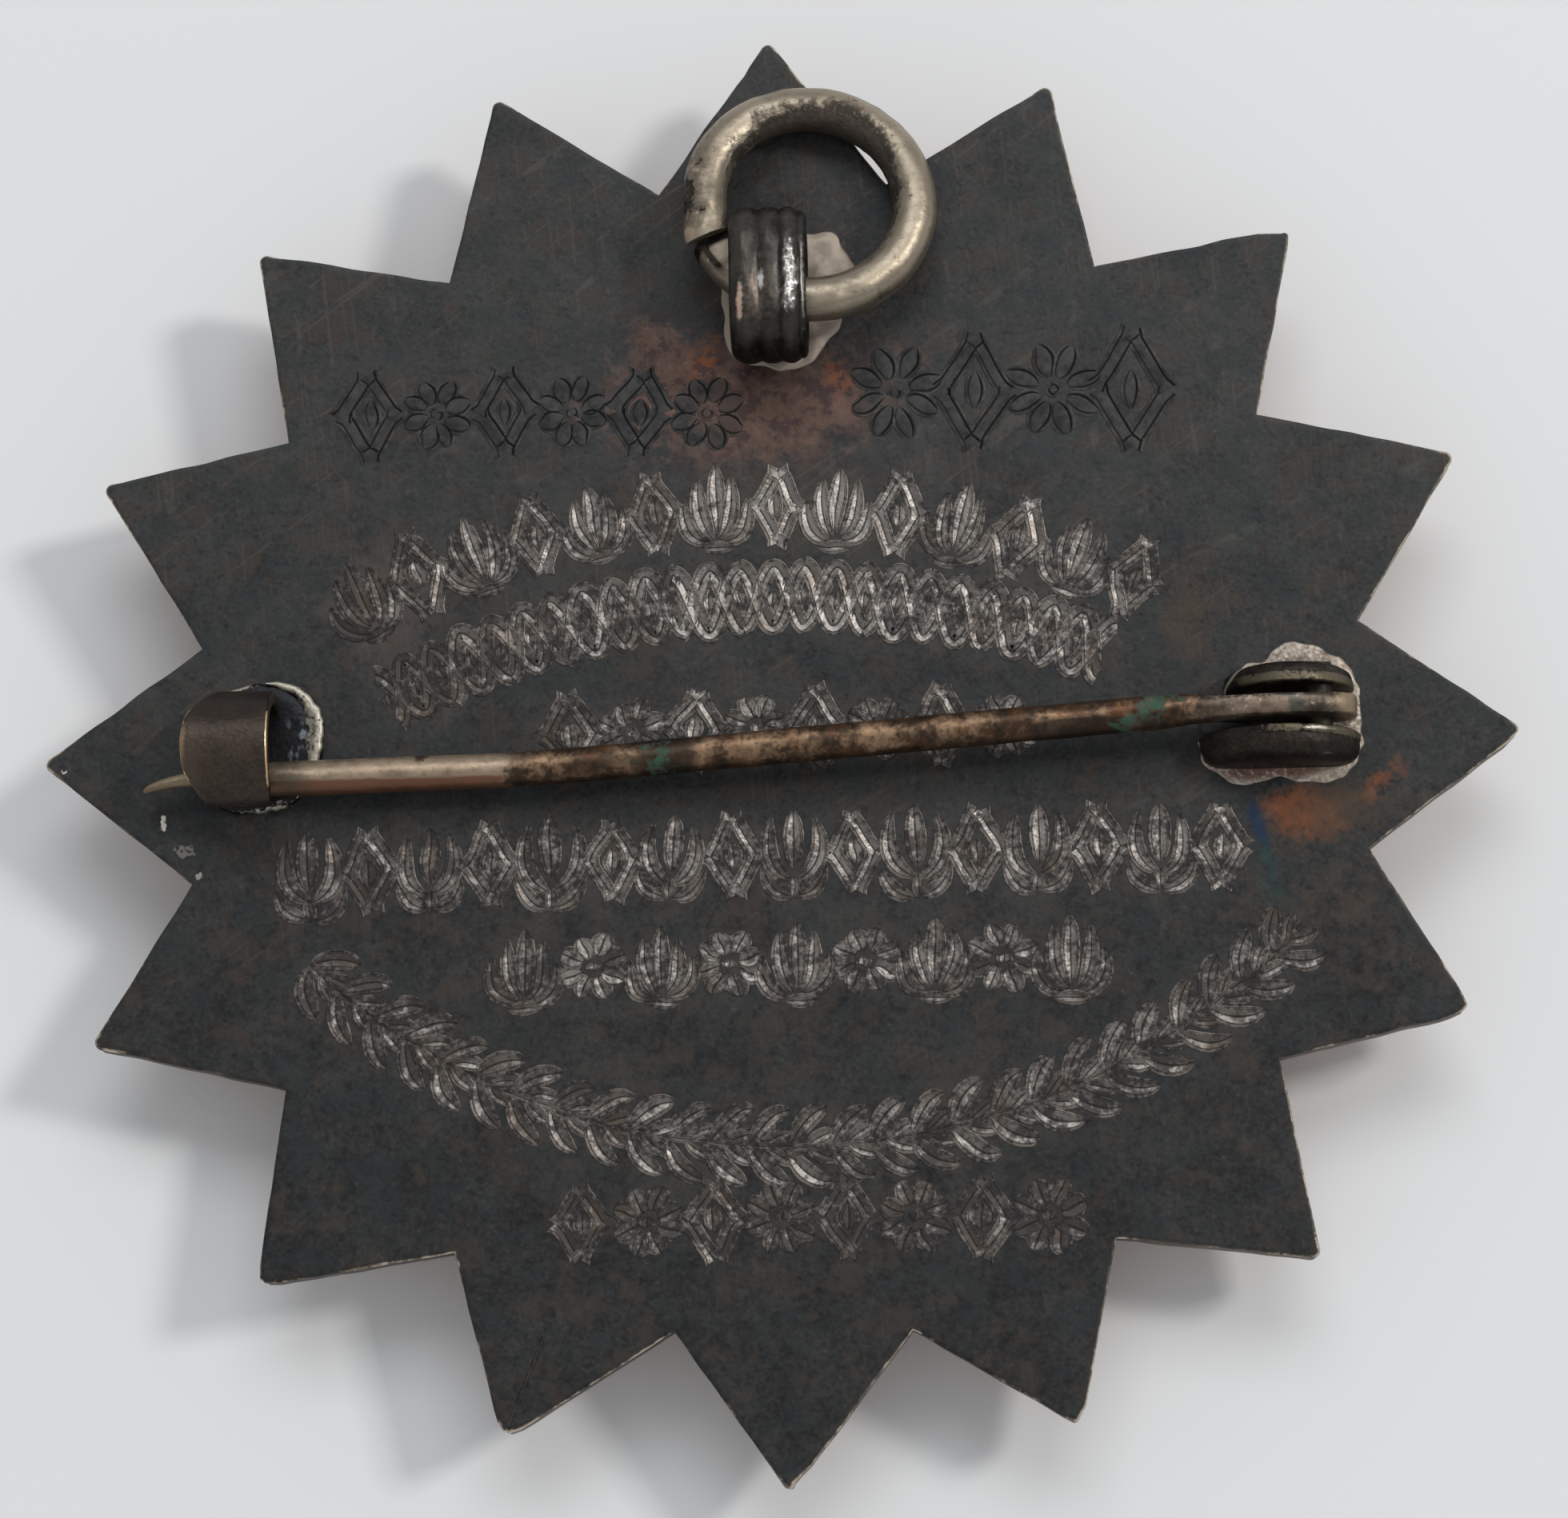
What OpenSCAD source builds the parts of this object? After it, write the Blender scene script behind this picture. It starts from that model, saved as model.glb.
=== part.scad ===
// Sixteen-pointed fraternal jewel, lying face down: the back, with its jump ring and brooch pin, is up.
// Millimetres. X runs along the pin towards its hinge, Y towards the point with the ring, Z up.
// The origin is on the surface that it lies on, under the middle of the star.

/* [Star plate] */
// Reach of the points from the middle of the star
star_reach = 23; // [22:0.5:26]
// Reach of the notches between the points
notch_reach = 18.5; // [18:0.25:19]
// Thickness of the plate
plate_t = 1.2; // [0.8:0.1:2]
// Radius of the worn ends of the points
tip_r = 0.25; // [0.15:0.05:0.4]
// Diameter of the plain raised middle of the hidden front
boss_d = 22; // [12:1:30]
// Height of that raised middle
boss_h = 2.6; // [1:0.1:4]

/* [Bail] */
// Width of the reeded strip that the bail is bent from
bail_w = 2.4; // [2:0.1:2.4]
// Thickness of the strip between its ribs
bail_t = 0.5; // [0.4:0.05:0.6]
// Height of the three ribs over the strip
rib_h = 0.1; // [0.05:0.05:0.2]
// Inside radius of the bail's round ends
bail_in_r = 1.3; // [1.25:0.05:1.4]
// Length of the straight stretch between the round ends
bail_straight = 1.5; // [1.4:0.1:2]
// Distance of the bail's middle from the middle of the star
bail_y = 14.55; // [14.4:0.05:14.7]

/* [Jump ring] */
// Diameter of the ring's wire
ring_wire_d = 1.42; // [1.2:0.02:1.46]
// Radius of the ring's centre line
ring_r = 3.33; // [3.2:0.05:3.6]
// Slope of the lying ring, down from the bail to the point it rests on
ring_slope = 12; // [11:0.5:13]
// Turn of the ring's swing axis away from the X axis
ring_skew = 22; // [20:1:24]
// Height of the cut end that lies over the other
ring_lap = 0.35; // [0.1:0.05:0.5]

/* [Brooch pin] */
// Diameter of the pin's wire
pin_d = 1.12; // [0.9:0.02:1.2]
// Thickness of the flattened blade that the rivet goes through
blade_t = 0.72; // [0.6:0.02:0.8]
// Radius of the blade's round end
blade_r = 1.2; // [1.1:0.05:1.25]
// Diameter of the rivet
rivet_d = 0.84; // [0.7:0.02:0.9]
// Play between the rivet and the blade, on the radius
blade_play = 0.04; // [0.03:0.01:0.06]

/* [Hinge] */
// Middle of the hinge, from the middle of the star
hinge_x = 15.6; // [15:0.1:16]
// Side offset of the middle of the hinge
hinge_y = 0.55; // [0.4:0.05:0.7]
// Half of the hinge's length along the pin
hinge_r = 2.55; // [2.4:0.05:2.7]
// Width over both ears
hinge_w = 3.2; // [3:0.1:3.4]
// Width of the slot between the ears
slot_w = 1; // [0.98:0.02:1.1]

/* [Catch] */
// Middle of the catch's round base, from the middle of the star
catch_x = -16.45; // [-17:0.05:-16]
// Side offset of the catch
catch_y = 0.32; // [0.2:0.02:0.4]
// Radius of the round base
catch_r = 2.15; // [2:0.05:2.2]
// Outside radius of the bent hook
hook_r = 1.9; // [1.85:0.05:1.95]
// Thickness of the hook's sheet
hook_t = 0.45; // [0.35:0.05:0.5]

/* [Hidden] */
$fn = 64;
eps = 0.05;

// Colours, as the photograph shows them
silver = [0.22, 0.22, 0.23];
champagne = [0.60, 0.55, 0.46];
bronze = [0.42, 0.31, 0.23];

// The star was cut by hand, so its points and notches are a little uneven.
// Columns: turn of the point, its added reach, turn of the notch after it, its added reach.
// Rows run clockwise from the top point.
TURN = 0;
REACH = 1;
NOTCH_TURN = 2;
NOTCH_ADD = 3;
POINTS = [
    [-0.1, -0.05, -0.35, 0.1],
    [-0.35, 0.05, -0.15, -0.05],
    [-0.25, 0.15, 0.35, -0.05],
    [0, 0.05, 0, 0.05],
    [0, 0.05, 0.1, 0.1],
    [0.15, -0.15, 0.25, -0.2],
    [0.05, -0.1, -0.8, 0],
    [0.15, -0.15, 0.5, 0.1],
    [-0.1, -0.05, 0.2, -0.05],
    [0, -0.05, 0.3, 0.15],
    [0.15, 0.1, 0.1, 0.15],
    [0, 0.2, 0.7, 0.35],
    [0, 0.05, 0, 0],
    [-0.2, 0, 0.2, 0],
    [-0.1, 0.05, 0.05, -0.05],
    [-0.25, 0, -0.15, -0.1],
];
point_step = 360 / len(POINTS);

// The back of the plate, which everything is soldered to
back_z = boss_h + plate_t;
boss_chamfer = 0.3;

// Solder spread round the foot of each fitting, as outlines on the back
solder_t = 0.14;
sunk = 0.1;
BAIL_SOLDER = [
    [-1.9, 16.3], [-0.9, 16.9], [1.3, 16.7], [2.1, 16.5], [2.5, 15.8], [1.9, 15.4], [2.6, 14.9],
    [2.4, 13.2], [1.9, 12.1], [0.6, 11.8], [-0.6, 11.9], [-1.5, 12.3], [-1.6, 13.6], [-2.1, 14.9],
];
HINGE_SOLDER = [
    [12.8, 1.3], [14.2, 2.1], [15.4, 2.7], [16.7, 2.9], [17.6, 2.4], [18.2, 1.2], [18.2, -0.3],
    [17.7, -1.3], [16.2, -1.5], [14.6, -1.6], [13.3, -1.2], [12.8, -0.3],
];

// Bail loop
rib_count = 3;
bail_out_r = bail_in_r + bail_t;
bail_z = back_z + bail_out_r + rib_h - sunk;
rib_steps = 4;

// Jump ring: its swing axis runs where the wire passes through the bail
axis_x = 0.14;
axis_y = 14.28;
axis_z = back_z + 2;
axis_to_centre = 3.17;
ring_sides = 14;
ring_stations = 60;
cut_angle = 193 + ring_skew;
cut_gap = 3;

// Hinge: the ears are turned round an axis just under the back
ear_drop = 0.2;
ear_lip = 0.24;
ear_corner_r = 1.05;
ear_corner_w = (hinge_w - slot_w) / 2 - ear_lip;
ear_steps = 8;
rivet_x = hinge_x + 1.15;
rivet_z = back_z + 1.3;
rivet_l = 2.9;
rivet_fit = 0.03;

// Pin: a straight run from the blade to a slight kink, then a stretch that ends in a bent point
blade_y = hinge_y + 0.06;
blade_inset = 0.08;
neck = [12.9, 0.6, back_z + 1.62];
kink = [-8, -0.7, back_z + 1.15];
pin_sides = 16;
// Columns of the last stretch: place along X, side offset, height over the back, share of the wire's radius
END_X = 0;
END_Y = 1;
END_Z = 2;
END_SHARE = 3;
PIN_END = [
    [-7.6, -0.67, 1.16, 0.96],
    [-8.6, -0.71, 1.14, 0.97],
    [-12, -0.76, 1.09, 1],
    [-15.5, -0.8, 1.04, 1],
    [-16.8, -0.78, 1.02, 0.76],
    [-18.1, -0.73, 1, 0.43],
    [-18.8, -0.8, 0.98, 0.3],
    [-19.5, -0.96, 0.96, 0.16],
    [-19.8, -1.05, 0.95, 0.06],
];

// Catch
base_t = 0.3;
rim_w = 0.42;
rim_t = 0.42;
hook_z = back_z + 1.15;
hook_left = -18.7;
hook_right = -15.98;
hook_start = -45;
hook_end = 155;

function polar(r, a) = [r * cos(a), r * sin(a)];

function point_angle(i) = 90 - point_step * i + POINTS[i][TURN];

function notch_angle(i) = 90 - point_step * (i + 0.5) + POINTS[i][NOTCH_TURN];

// The round end of one point, as five places on an arc
function tip_arc(i) =
    let (middle = polar(star_reach + POINTS[i][REACH] - tip_r, point_angle(i)))
    [for (turn = [53.4:-26.7:-53.4]) middle + polar(tip_r, point_angle(i) + turn)];

function star_outline() = [
    for (i = [0:len(POINTS) - 1])
        each concat(tip_arc(i), [polar(notch_reach + POINTS[i][NOTCH_ADD], notch_angle(i))]),
];

// Outline across the reeded strip: radius against width, a row of half-sine ribs
function rib_outline() = [
    for (i = [0:rib_count - 1], j = [0:rib_steps - 1])
        let (share = (i + j / rib_steps) / rib_count)
        [bail_out_r + rib_h * sin(180 * j / rib_steps), bail_w * (share - 0.5)],
];

// The ring's centre line goes once round, from the lower cut end to the one that lies over it
function ring_place(share) =
    let (a = cut_angle + cut_gap / 2 + (360 - cut_gap) * share)
    [ring_r * cos(a), ring_r * sin(a), ring_lap * share * share];

// A round section of the last stretch of the pin, counted round the X axis
function pin_section(row) = [
    for (j = [0:pin_sides - 1])
        let (a = -360 * j / pin_sides, r = pin_d / 2 * row[END_SHARE])
        [row[END_X], row[END_Y] + r * cos(a), back_z + row[END_Z] + r * sin(a)],
];

function ring_section(share) =
    let (a = cut_angle + cut_gap / 2 + (360 - cut_gap) * share, mid = ring_place(share))
    [
        for (j = [0:ring_sides - 1])
            let (b = 360 * j / ring_sides, out = ring_wire_d / 2 * cos(b))
            mid + [out * cos(a), out * sin(a), ring_wire_d / 2 * sin(b)],
    ];

// A closed skin over a row of sections, each a list of the same number of places
module skin(sections) {
    sides = len(sections[0]);
    last = (len(sections) - 1) * sides;
    walls = [
        for (i = [0:len(sections) - 2], j = [0:sides - 1])
            let (next = (j + 1) % sides, a = i * sides, b = a + sides)
            [a + j, b + j, b + next, a + next],
    ];
    ends = [
        [for (j = [0:sides - 1]) j],
        [for (j = [sides - 1:-1:0]) last + j],
    ];
    polyhedron([for (section = sections) each section], concat(walls, ends));
}

module star_outline_plate() {
    translate([0, 0, boss_h])
        linear_extrude(plate_t)
            polygon(star_outline());
}

module boss() {
    boss_r = boss_d / 2;
    rotate_extrude()
        polygon([
            [0, 0], [boss_r - boss_chamfer, 0], [boss_r, boss_chamfer],
            [boss_r, boss_h + eps], [0, boss_h + eps],
        ]);
}

module solder(outline) {
    translate([0, 0, back_z - sunk])
        linear_extrude(solder_t + sunk)
            polygon(outline);
}

module strap_section() {
    polygon(concat(
        [[bail_in_r, -bail_w / 2]],
        rib_outline(),
        [[bail_out_r, bail_w / 2], [bail_in_r, bail_w / 2]]
    ));
}

// An oval loop of strip that stands on the back, open along X
module bail() {
    half = bail_straight / 2;
    translate([0, bail_y, bail_z])
        rotate([90, 0, 90])
            union() {
                translate([half, 0, 0])
                    rotate([0, 0, -90])
                        rotate_extrude(angle = 180)
                            strap_section();
                translate([-half, 0, 0])
                    rotate([0, 0, 90])
                        rotate_extrude(angle = 180)
                            strap_section();
                for (flip = [0, 180])
                    rotate([0, 0, flip])
                        translate([half, 0, 0])
                            rotate([0, -90, 0])
                                rotate([0, 0, 90])
                                    linear_extrude(bail_straight)
                                        strap_section();
            }
}

// One ear: a round-topped lip beside the slot that swells out and down to the back
module ear(side) {
    inner = slot_w / 2;
    corner = [
        for (j = [0:ear_steps])
            let (a = 90 * j / ear_steps)
            [
                hinge_r - ear_corner_r + ear_corner_r * cos(a),
                inner + ear_lip + ear_corner_w * sin(a),
            ],
    ];
    translate([hinge_x, hinge_y, back_z - ear_drop])
        rotate([side * -90, 0, 0])
            rotate_extrude()
                polygon(concat([[0, inner], [hinge_r, inner]], corner, [[0, hinge_w / 2]]));
}

module hinge() {
    difference() {
        union() {
            solder(HINGE_SOLDER);
            intersection() {
                union() {
                    ear(1);
                    ear(-1);
                }
                translate([hinge_x - 5, hinge_y - 5, back_z - sunk])
                    cube([10, 10, 5]);
            }
        }
        translate([hinge_x - 5, hinge_y - slot_w / 2, back_z])
            cube([10, slot_w, 5]);
        translate([rivet_x, hinge_y + 5, rivet_z])
            rotate([90, 0, 0])
                cylinder(h = 10, r = rivet_d / 2 + rivet_fit);
    }
}

// A round base with a raised rim, and a hook of sheet bent over the pin, open towards -Y
module catch() {
    translate([catch_x, catch_y, back_z - sunk])
        cylinder(h = base_t + sunk, r = catch_r);
    intersection() {
        difference() {
            translate([catch_x, catch_y, back_z])
                cylinder(h = rim_t, r = catch_r);
            translate([catch_x, catch_y, back_z - sunk])
                cylinder(h = 1, r = catch_r - rim_w);
        }
        translate([hook_right + 0.1, catch_y - 5, back_z - 1])
            cube([10, 10, 5]);
    }
    intersection() {
        translate([hook_left, catch_y, hook_z])
            rotate([90, 0, 90])
                rotate([0, 0, hook_start])
                    rotate_extrude(angle = hook_end - hook_start)
                        translate([hook_r - hook_t, 0])
                            square([hook_t, hook_right - hook_left]);
        translate([catch_x, catch_y, back_z + base_t / 2])
            cylinder(h = 4, r = catch_r - eps);
    }
}

// The die-cut star with its plain front, and the bail, hinge ears and catch soldered to its back
module star_plate() {
    color(silver) {
        star_outline_plate();
        boss();
        solder(BAIL_SOLDER);
        bail();
        hinge();
        catch();
    }
}

// An open ring of round wire through the bail, its ends cut and lapped
module jump_ring() {
    color(champagne)
        translate([axis_x, axis_y, axis_z])
            rotate([0, 0, -ring_skew])
                rotate([-ring_slope, 0, 0])
                    translate([0, axis_to_centre, 0])
                        skin([for (i = [0:ring_stations - 1]) ring_section(i / (ring_stations - 1))]);
}

// A plain rod through both ears and the pin's blade
module hinge_rivet() {
    color(bronze)
        translate([rivet_x, hinge_y + rivet_l / 2, rivet_z])
            rotate([90, 0, 0])
                cylinder(h = rivet_l, r = rivet_d / 2);
}

// A straight round rod from one place to another
module rod(from, to, r) {
    run = to - from;
    flat = norm([run.x, run.y]);
    translate(from)
        rotate([0, atan2(flat, run.z), atan2(run.y, run.x)])
            cylinder(h = norm(run), r = r);
}

// The flattened end of the pin, with the hole for the rivet
module blade() {
    root_x = neck.x - 0.5;
    shoulder_x = 14.3;
    difference() {
        translate([0, blade_y + blade_t / 2, 0])
            rotate([90, 0, 0])
                linear_extrude(blade_t)
                    union() {
                        translate([rivet_x, rivet_z])
                            circle(r = blade_r);
                        polygon([
                            [root_x, neck.z - 0.42], [root_x, neck.z + 0.42],
                            [shoulder_x, rivet_z + blade_r - 0.15],
                            [rivet_x, rivet_z + blade_r - blade_inset],
                            [rivet_x, rivet_z - blade_r + blade_inset],
                            [shoulder_x, rivet_z - 0.75],
                        ]);
                    }
        translate([rivet_x, hinge_y + 5, rivet_z])
            rotate([90, 0, 0])
                cylinder(h = 10, r = rivet_d / 2 + blade_play);
    }
}

// The brooch pin: flattened blade, straight wire and bent point, all one piece
module pin_stem() {
    color(bronze) {
        blade();
        rod(neck, kink, pin_d / 2);
        skin([for (row = PIN_END) pin_section(row)]);
    }
}

star_plate();
jump_ring();
hinge_rivet();
pin_stem();
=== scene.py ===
"""A many-pointed fraternal jewel that lies face down, dressed for its picture.

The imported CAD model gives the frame. The star with its bail, hinge, catch and solder, the jump ring and the
brooch pin are new skins over their CAD nodes; the rivet keeps its own mesh. All lengths here are millimetres
in the part's frame until a mesh is made: X runs along the pin towards its hinge, Y towards the point with the
ring, Z up out of the back.
"""

import logging
import math
from collections.abc import Mapping, Sequence
from dataclasses import dataclass, field
from enum import Enum

import bpy
import numpy as np
from mathutils import Matrix, Vector

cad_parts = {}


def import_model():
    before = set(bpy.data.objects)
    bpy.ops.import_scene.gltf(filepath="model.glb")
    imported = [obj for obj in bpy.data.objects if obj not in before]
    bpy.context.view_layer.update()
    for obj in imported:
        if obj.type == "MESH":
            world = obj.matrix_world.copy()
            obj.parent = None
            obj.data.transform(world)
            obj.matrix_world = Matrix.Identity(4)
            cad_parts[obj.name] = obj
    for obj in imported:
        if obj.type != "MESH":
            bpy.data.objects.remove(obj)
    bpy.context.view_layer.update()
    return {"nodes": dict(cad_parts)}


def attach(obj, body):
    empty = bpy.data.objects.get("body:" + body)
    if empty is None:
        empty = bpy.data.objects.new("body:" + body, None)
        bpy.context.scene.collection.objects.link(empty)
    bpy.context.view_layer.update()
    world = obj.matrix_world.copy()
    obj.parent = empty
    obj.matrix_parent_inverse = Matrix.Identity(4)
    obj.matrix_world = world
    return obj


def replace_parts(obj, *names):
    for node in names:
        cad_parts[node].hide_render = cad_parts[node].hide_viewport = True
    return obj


log = logging.getLogger("jewel")

Array = np.ndarray
Colour = tuple[float, float, float]
Place = tuple[float, float]
Table = tuple[tuple[float, ...], ...]

MM = 0.001
BACK = 3.8


def ripple(x: Array, y: Array, wave: float, seed: int) -> Array:
    """Smooth unevenness of about -1 to 1: the scaled sum of twelve sine waves in seeded directions.

    Args:
        x: First coordinate, in mm.
        y: Second coordinate, in mm.
        wave: Middle wavelength of the waves, in mm.
        seed: Picks the directions, lengths and phases.

    Returns:
        One value for each place.
    """
    rng = np.random.default_rng(seed)
    turn, phase = rng.uniform(0, 2 * np.pi, (2, 12))
    pace = 2 * np.pi / (wave * rng.uniform(0.6, 1.7, 12))
    run = x[..., None] * np.cos(turn) + y[..., None] * np.sin(turn)
    return np.sin(run * pace + phase).sum(-1) / 4.2


def bump_at(x: Array, y: Array, place: Place, reach: float | Place) -> Array:
    """A soft hump of height 1: e to the minus square of the offset from the place over the reach, on both axes."""
    wide, high = np.broadcast_to(reach, 2)
    return np.exp(-(((x - place[0]) / wide) ** 2) - ((y - place[1]) / high) ** 2)


def ray(turn: Array) -> Array:
    """Unit vectors (cos, sin) at some turns, in radians."""
    return np.stack([np.cos(turn), np.sin(turn)], -1)


def hump(x: Array, middle: float, reach: float) -> Array:
    """The same soft hump along one axis."""
    return np.exp(-(((x - middle) / reach) ** 2))


def ease(x: Array, low: float, high: float) -> Array:
    """Smooth step: 0 under low, 1 over high, and three t squared less two t cubed between."""
    t = np.clip((x - low) / (high - low), 0, 1)
    return t * t * (3 - 2 * t)


def glide(at: Array, value: Array, x: Array) -> Array:
    """Monotone cubic through stations, whose slopes are the harmonic means of the neighbouring runs'.

    Args:
        at: Places of the stations, rising.
        value: Values at the stations.
        x: Where to read it.

    Returns:
        The values there.
    """
    run = np.diff(value) / np.diff(at)
    both = run[:-1] * run[1:]
    mean = np.where(both > 0, 2 * both / np.where(both > 0, run[:-1] + run[1:], 1), 0)
    slope = np.concatenate([run[:1], mean, run[-1:]])
    i = np.clip(np.searchsorted(at, x) - 1, 0, len(at) - 2)
    gap = at[i + 1] - at[i]
    t = (x - at[i]) / gap
    return (
        (2 * t**3 - 3 * t**2 + 1) * value[i] + (t**3 - 2 * t**2 + t) * gap * slope[i]
        + (3 * t**2 - 2 * t**3) * value[i + 1] + (t**3 - t**2) * gap * slope[i + 1]
    )


def star_dents(x: Array, y: Array) -> Array:
    """Height of the star's back over a flat one, in mm: three sizes of ripple, a few hundredths high in all."""
    return 0.012 * ripple(x, y, 9, 3) + 0.006 * ripple(x, y, 3.4, 5) + 0.003 * ripple(x, y, 1.7, 8)


def linked(name: str, data: bpy.types.ID) -> bpy.types.Object:
    """Makes an object of some data and puts it in the scene."""
    made = bpy.data.objects.new(name, data)
    bpy.context.scene.collection.objects.link(made)
    return made


class Skin:
    """Closed shells that are gathered into one mesh, with named marks on their points."""

    def __init__(self, marks: Sequence[str] = ()) -> None:
        """Starts empty.

        Args:
            marks: Names of the numbers that every point carries.
        """
        self.points: list[Array] = []
        self.quads: list[Array] = []
        self.fans: list[Array] = []
        self.marks: dict[str, list[Array]] = {name: [] for name in marks}
        self.count = 0

    def add(self, grid: Array, ring: bool = False, **marks: Array | float) -> None:
        """Adds shells, each a row of closed loops: neighbouring loops are joined by quads.

        A loop's last point joins its first. The first and last loop get a fan round their middle, or are joined
        to each other. A shell whose signed volume comes out negative has its faces turned, so all look outwards.

        Args:
            grid: Points, as (shells, loops, points in a loop, 3), or without the first axis for one shell.
            ring: Joins the last loop to the first in place of the two fans.
            **marks: A value for each point of the grid, or one for all, under each of the skin's names.
        """
        grid = grid if grid.ndim == 4 else grid[None]
        shells, rows, around = grid.shape[:3]
        index = np.arange(rows * around).reshape(rows, around)
        low = index if ring else index[:-1]
        high = np.roll(index, -1, 0) if ring else index[1:]
        quads = np.stack([low, np.roll(low, -1, 1), np.roll(high, -1, 1), high], -1).reshape(-1, 4)
        points = grid.reshape(shells, -1, 3)
        fans = np.zeros((0, 3), int)
        if not ring:
            points = np.concatenate([points, grid[:, [0, -1]].mean(2)], 1)
            first, last = rows * around, rows * around + 1
            near = np.stack([np.roll(index[0], -1), index[0], np.full(around, first)], -1)
            far = np.stack([index[-1], np.roll(index[-1], -1), np.full(around, last)], -1)
            fans = np.concatenate([near, far])
        corner = points[:, quads]
        volume = (corner[:, :, 0] * np.cross(corner[:, :, 1], corner[:, :, 2])).sum((1, 2))
        volume += (corner[:, :, 0] * np.cross(corner[:, :, 2], corner[:, :, 3])).sum((1, 2))
        turned = (volume < 0)[:, None, None]
        step = self.count + np.arange(shells)[:, None, None] * points.shape[1]
        self.quads.append((np.where(turned, quads[:, ::-1], quads) + step).reshape(-1, 4))
        self.fans.append((np.where(turned, fans[:, ::-1], fans) + step).reshape(-1, 3))
        self.points.append(points.reshape(-1, 3))
        for name, found in self.marks.items():
            value = np.broadcast_to(np.asarray(marks.get(name, 0.0), float), grid.shape[:3])
            flat = value.reshape(shells, -1)
            if not ring:
                flat = np.concatenate([flat, value[:, [0, -1]].mean(2)], 1)
            found.append(flat.reshape(-1))
        self.count += shells * points.shape[1]

    def make(self, name: str, finish: bpy.types.Material, sharp: float = 180) -> bpy.types.Object:
        """Makes the mesh object, smooth but for edges past an angle.

        Args:
            name: The object's name.
            finish: Its material.
            sharp: Angle between two faces past which their edge is sharp, in degrees.

        Returns:
            The object, at the origin of the frame.
        """
        mesh = bpy.data.meshes.new(name)
        faces = np.concatenate(self.quads).tolist() + np.concatenate(self.fans).tolist()
        mesh.from_pydata((np.concatenate(self.points) * MM).tolist(), [], faces)
        for mark, found in self.marks.items():
            mesh.attributes.new(mark, "FLOAT", "POINT").data.foreach_set(
                "value", np.concatenate(found).astype(np.float32)
            )
        mesh.polygons.foreach_set("use_smooth", np.ones(len(faces), bool))
        if sharp < 180:
            mesh.set_sharp_from_angle(angle=math.radians(sharp))
        mesh.validate()
        mesh.update()
        mesh.materials.append(finish)
        return linked(name, mesh)


class Value:
    """A number socket that takes part in Python sums: each operation adds one Math node."""

    def __init__(self, shade: "Shade", socket: bpy.types.NodeSocket) -> None:
        """Wraps a socket of a material."""
        self.shade = shade
        self.socket = socket

    def _math(self, operation: str, *terms: "Value | float") -> "Value":
        """Adds a Math node over some terms."""
        made = self.shade.node("ShaderNodeMath", {"operation": operation}, dict(enumerate(terms)))
        return Value(self.shade, made.outputs[0])

    def __add__(self, other: "Value | float") -> "Value":
        """Sum."""
        return self._math("ADD", self, other)

    __radd__ = __add__

    def __sub__(self, other: "Value | float") -> "Value":
        """Difference."""
        return self._math("SUBTRACT", self, other)

    def __rsub__(self, other: float) -> "Value":
        """Difference, from a number."""
        return self._math("SUBTRACT", other, self)

    def __mul__(self, other: "Value | float") -> "Value":
        """Product."""
        return self._math("MULTIPLY", self, other)

    __rmul__ = __mul__

    def __abs__(self) -> "Value":
        """Size without the sign."""
        return self._math("ABSOLUTE", self)

    def least(self, other: "Value | float") -> "Value":
        """The smaller of two."""
        return self._math("MINIMUM", self, other)

    def most(self, other: "Value | float") -> "Value":
        """The larger of two."""
        return self._math("MAXIMUM", self, other)

    def rise(self, low: float, high: float) -> "Value":
        """Smooth step from 0 at low to 1 at high."""
        made = self.shade.node(
            "ShaderNodeMapRange",
            {"interpolation_type": "SMOOTHSTEP", "clamp": True},
            {"Value": self, "From Min": low, "From Max": high},
        )
        return Value(self.shade, made.outputs[0])

    def fall(self, low: float, high: float) -> "Value":
        """Smooth step from 1 at low to 0 at high."""
        return 1 - self.rise(low, high)

    def swing(self, weight: float) -> "Value":
        """How far a noise is from its middle of 0.5, times a weight."""
        return (self - 0.5) * weight

    def near(self, middle: float, reach: float) -> "Value":
        """1 at a middle value, down to 0 at a reach on both sides."""
        return abs(self - middle).fall(0, reach)


Paint = bpy.types.NodeSocket | Colour


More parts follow.
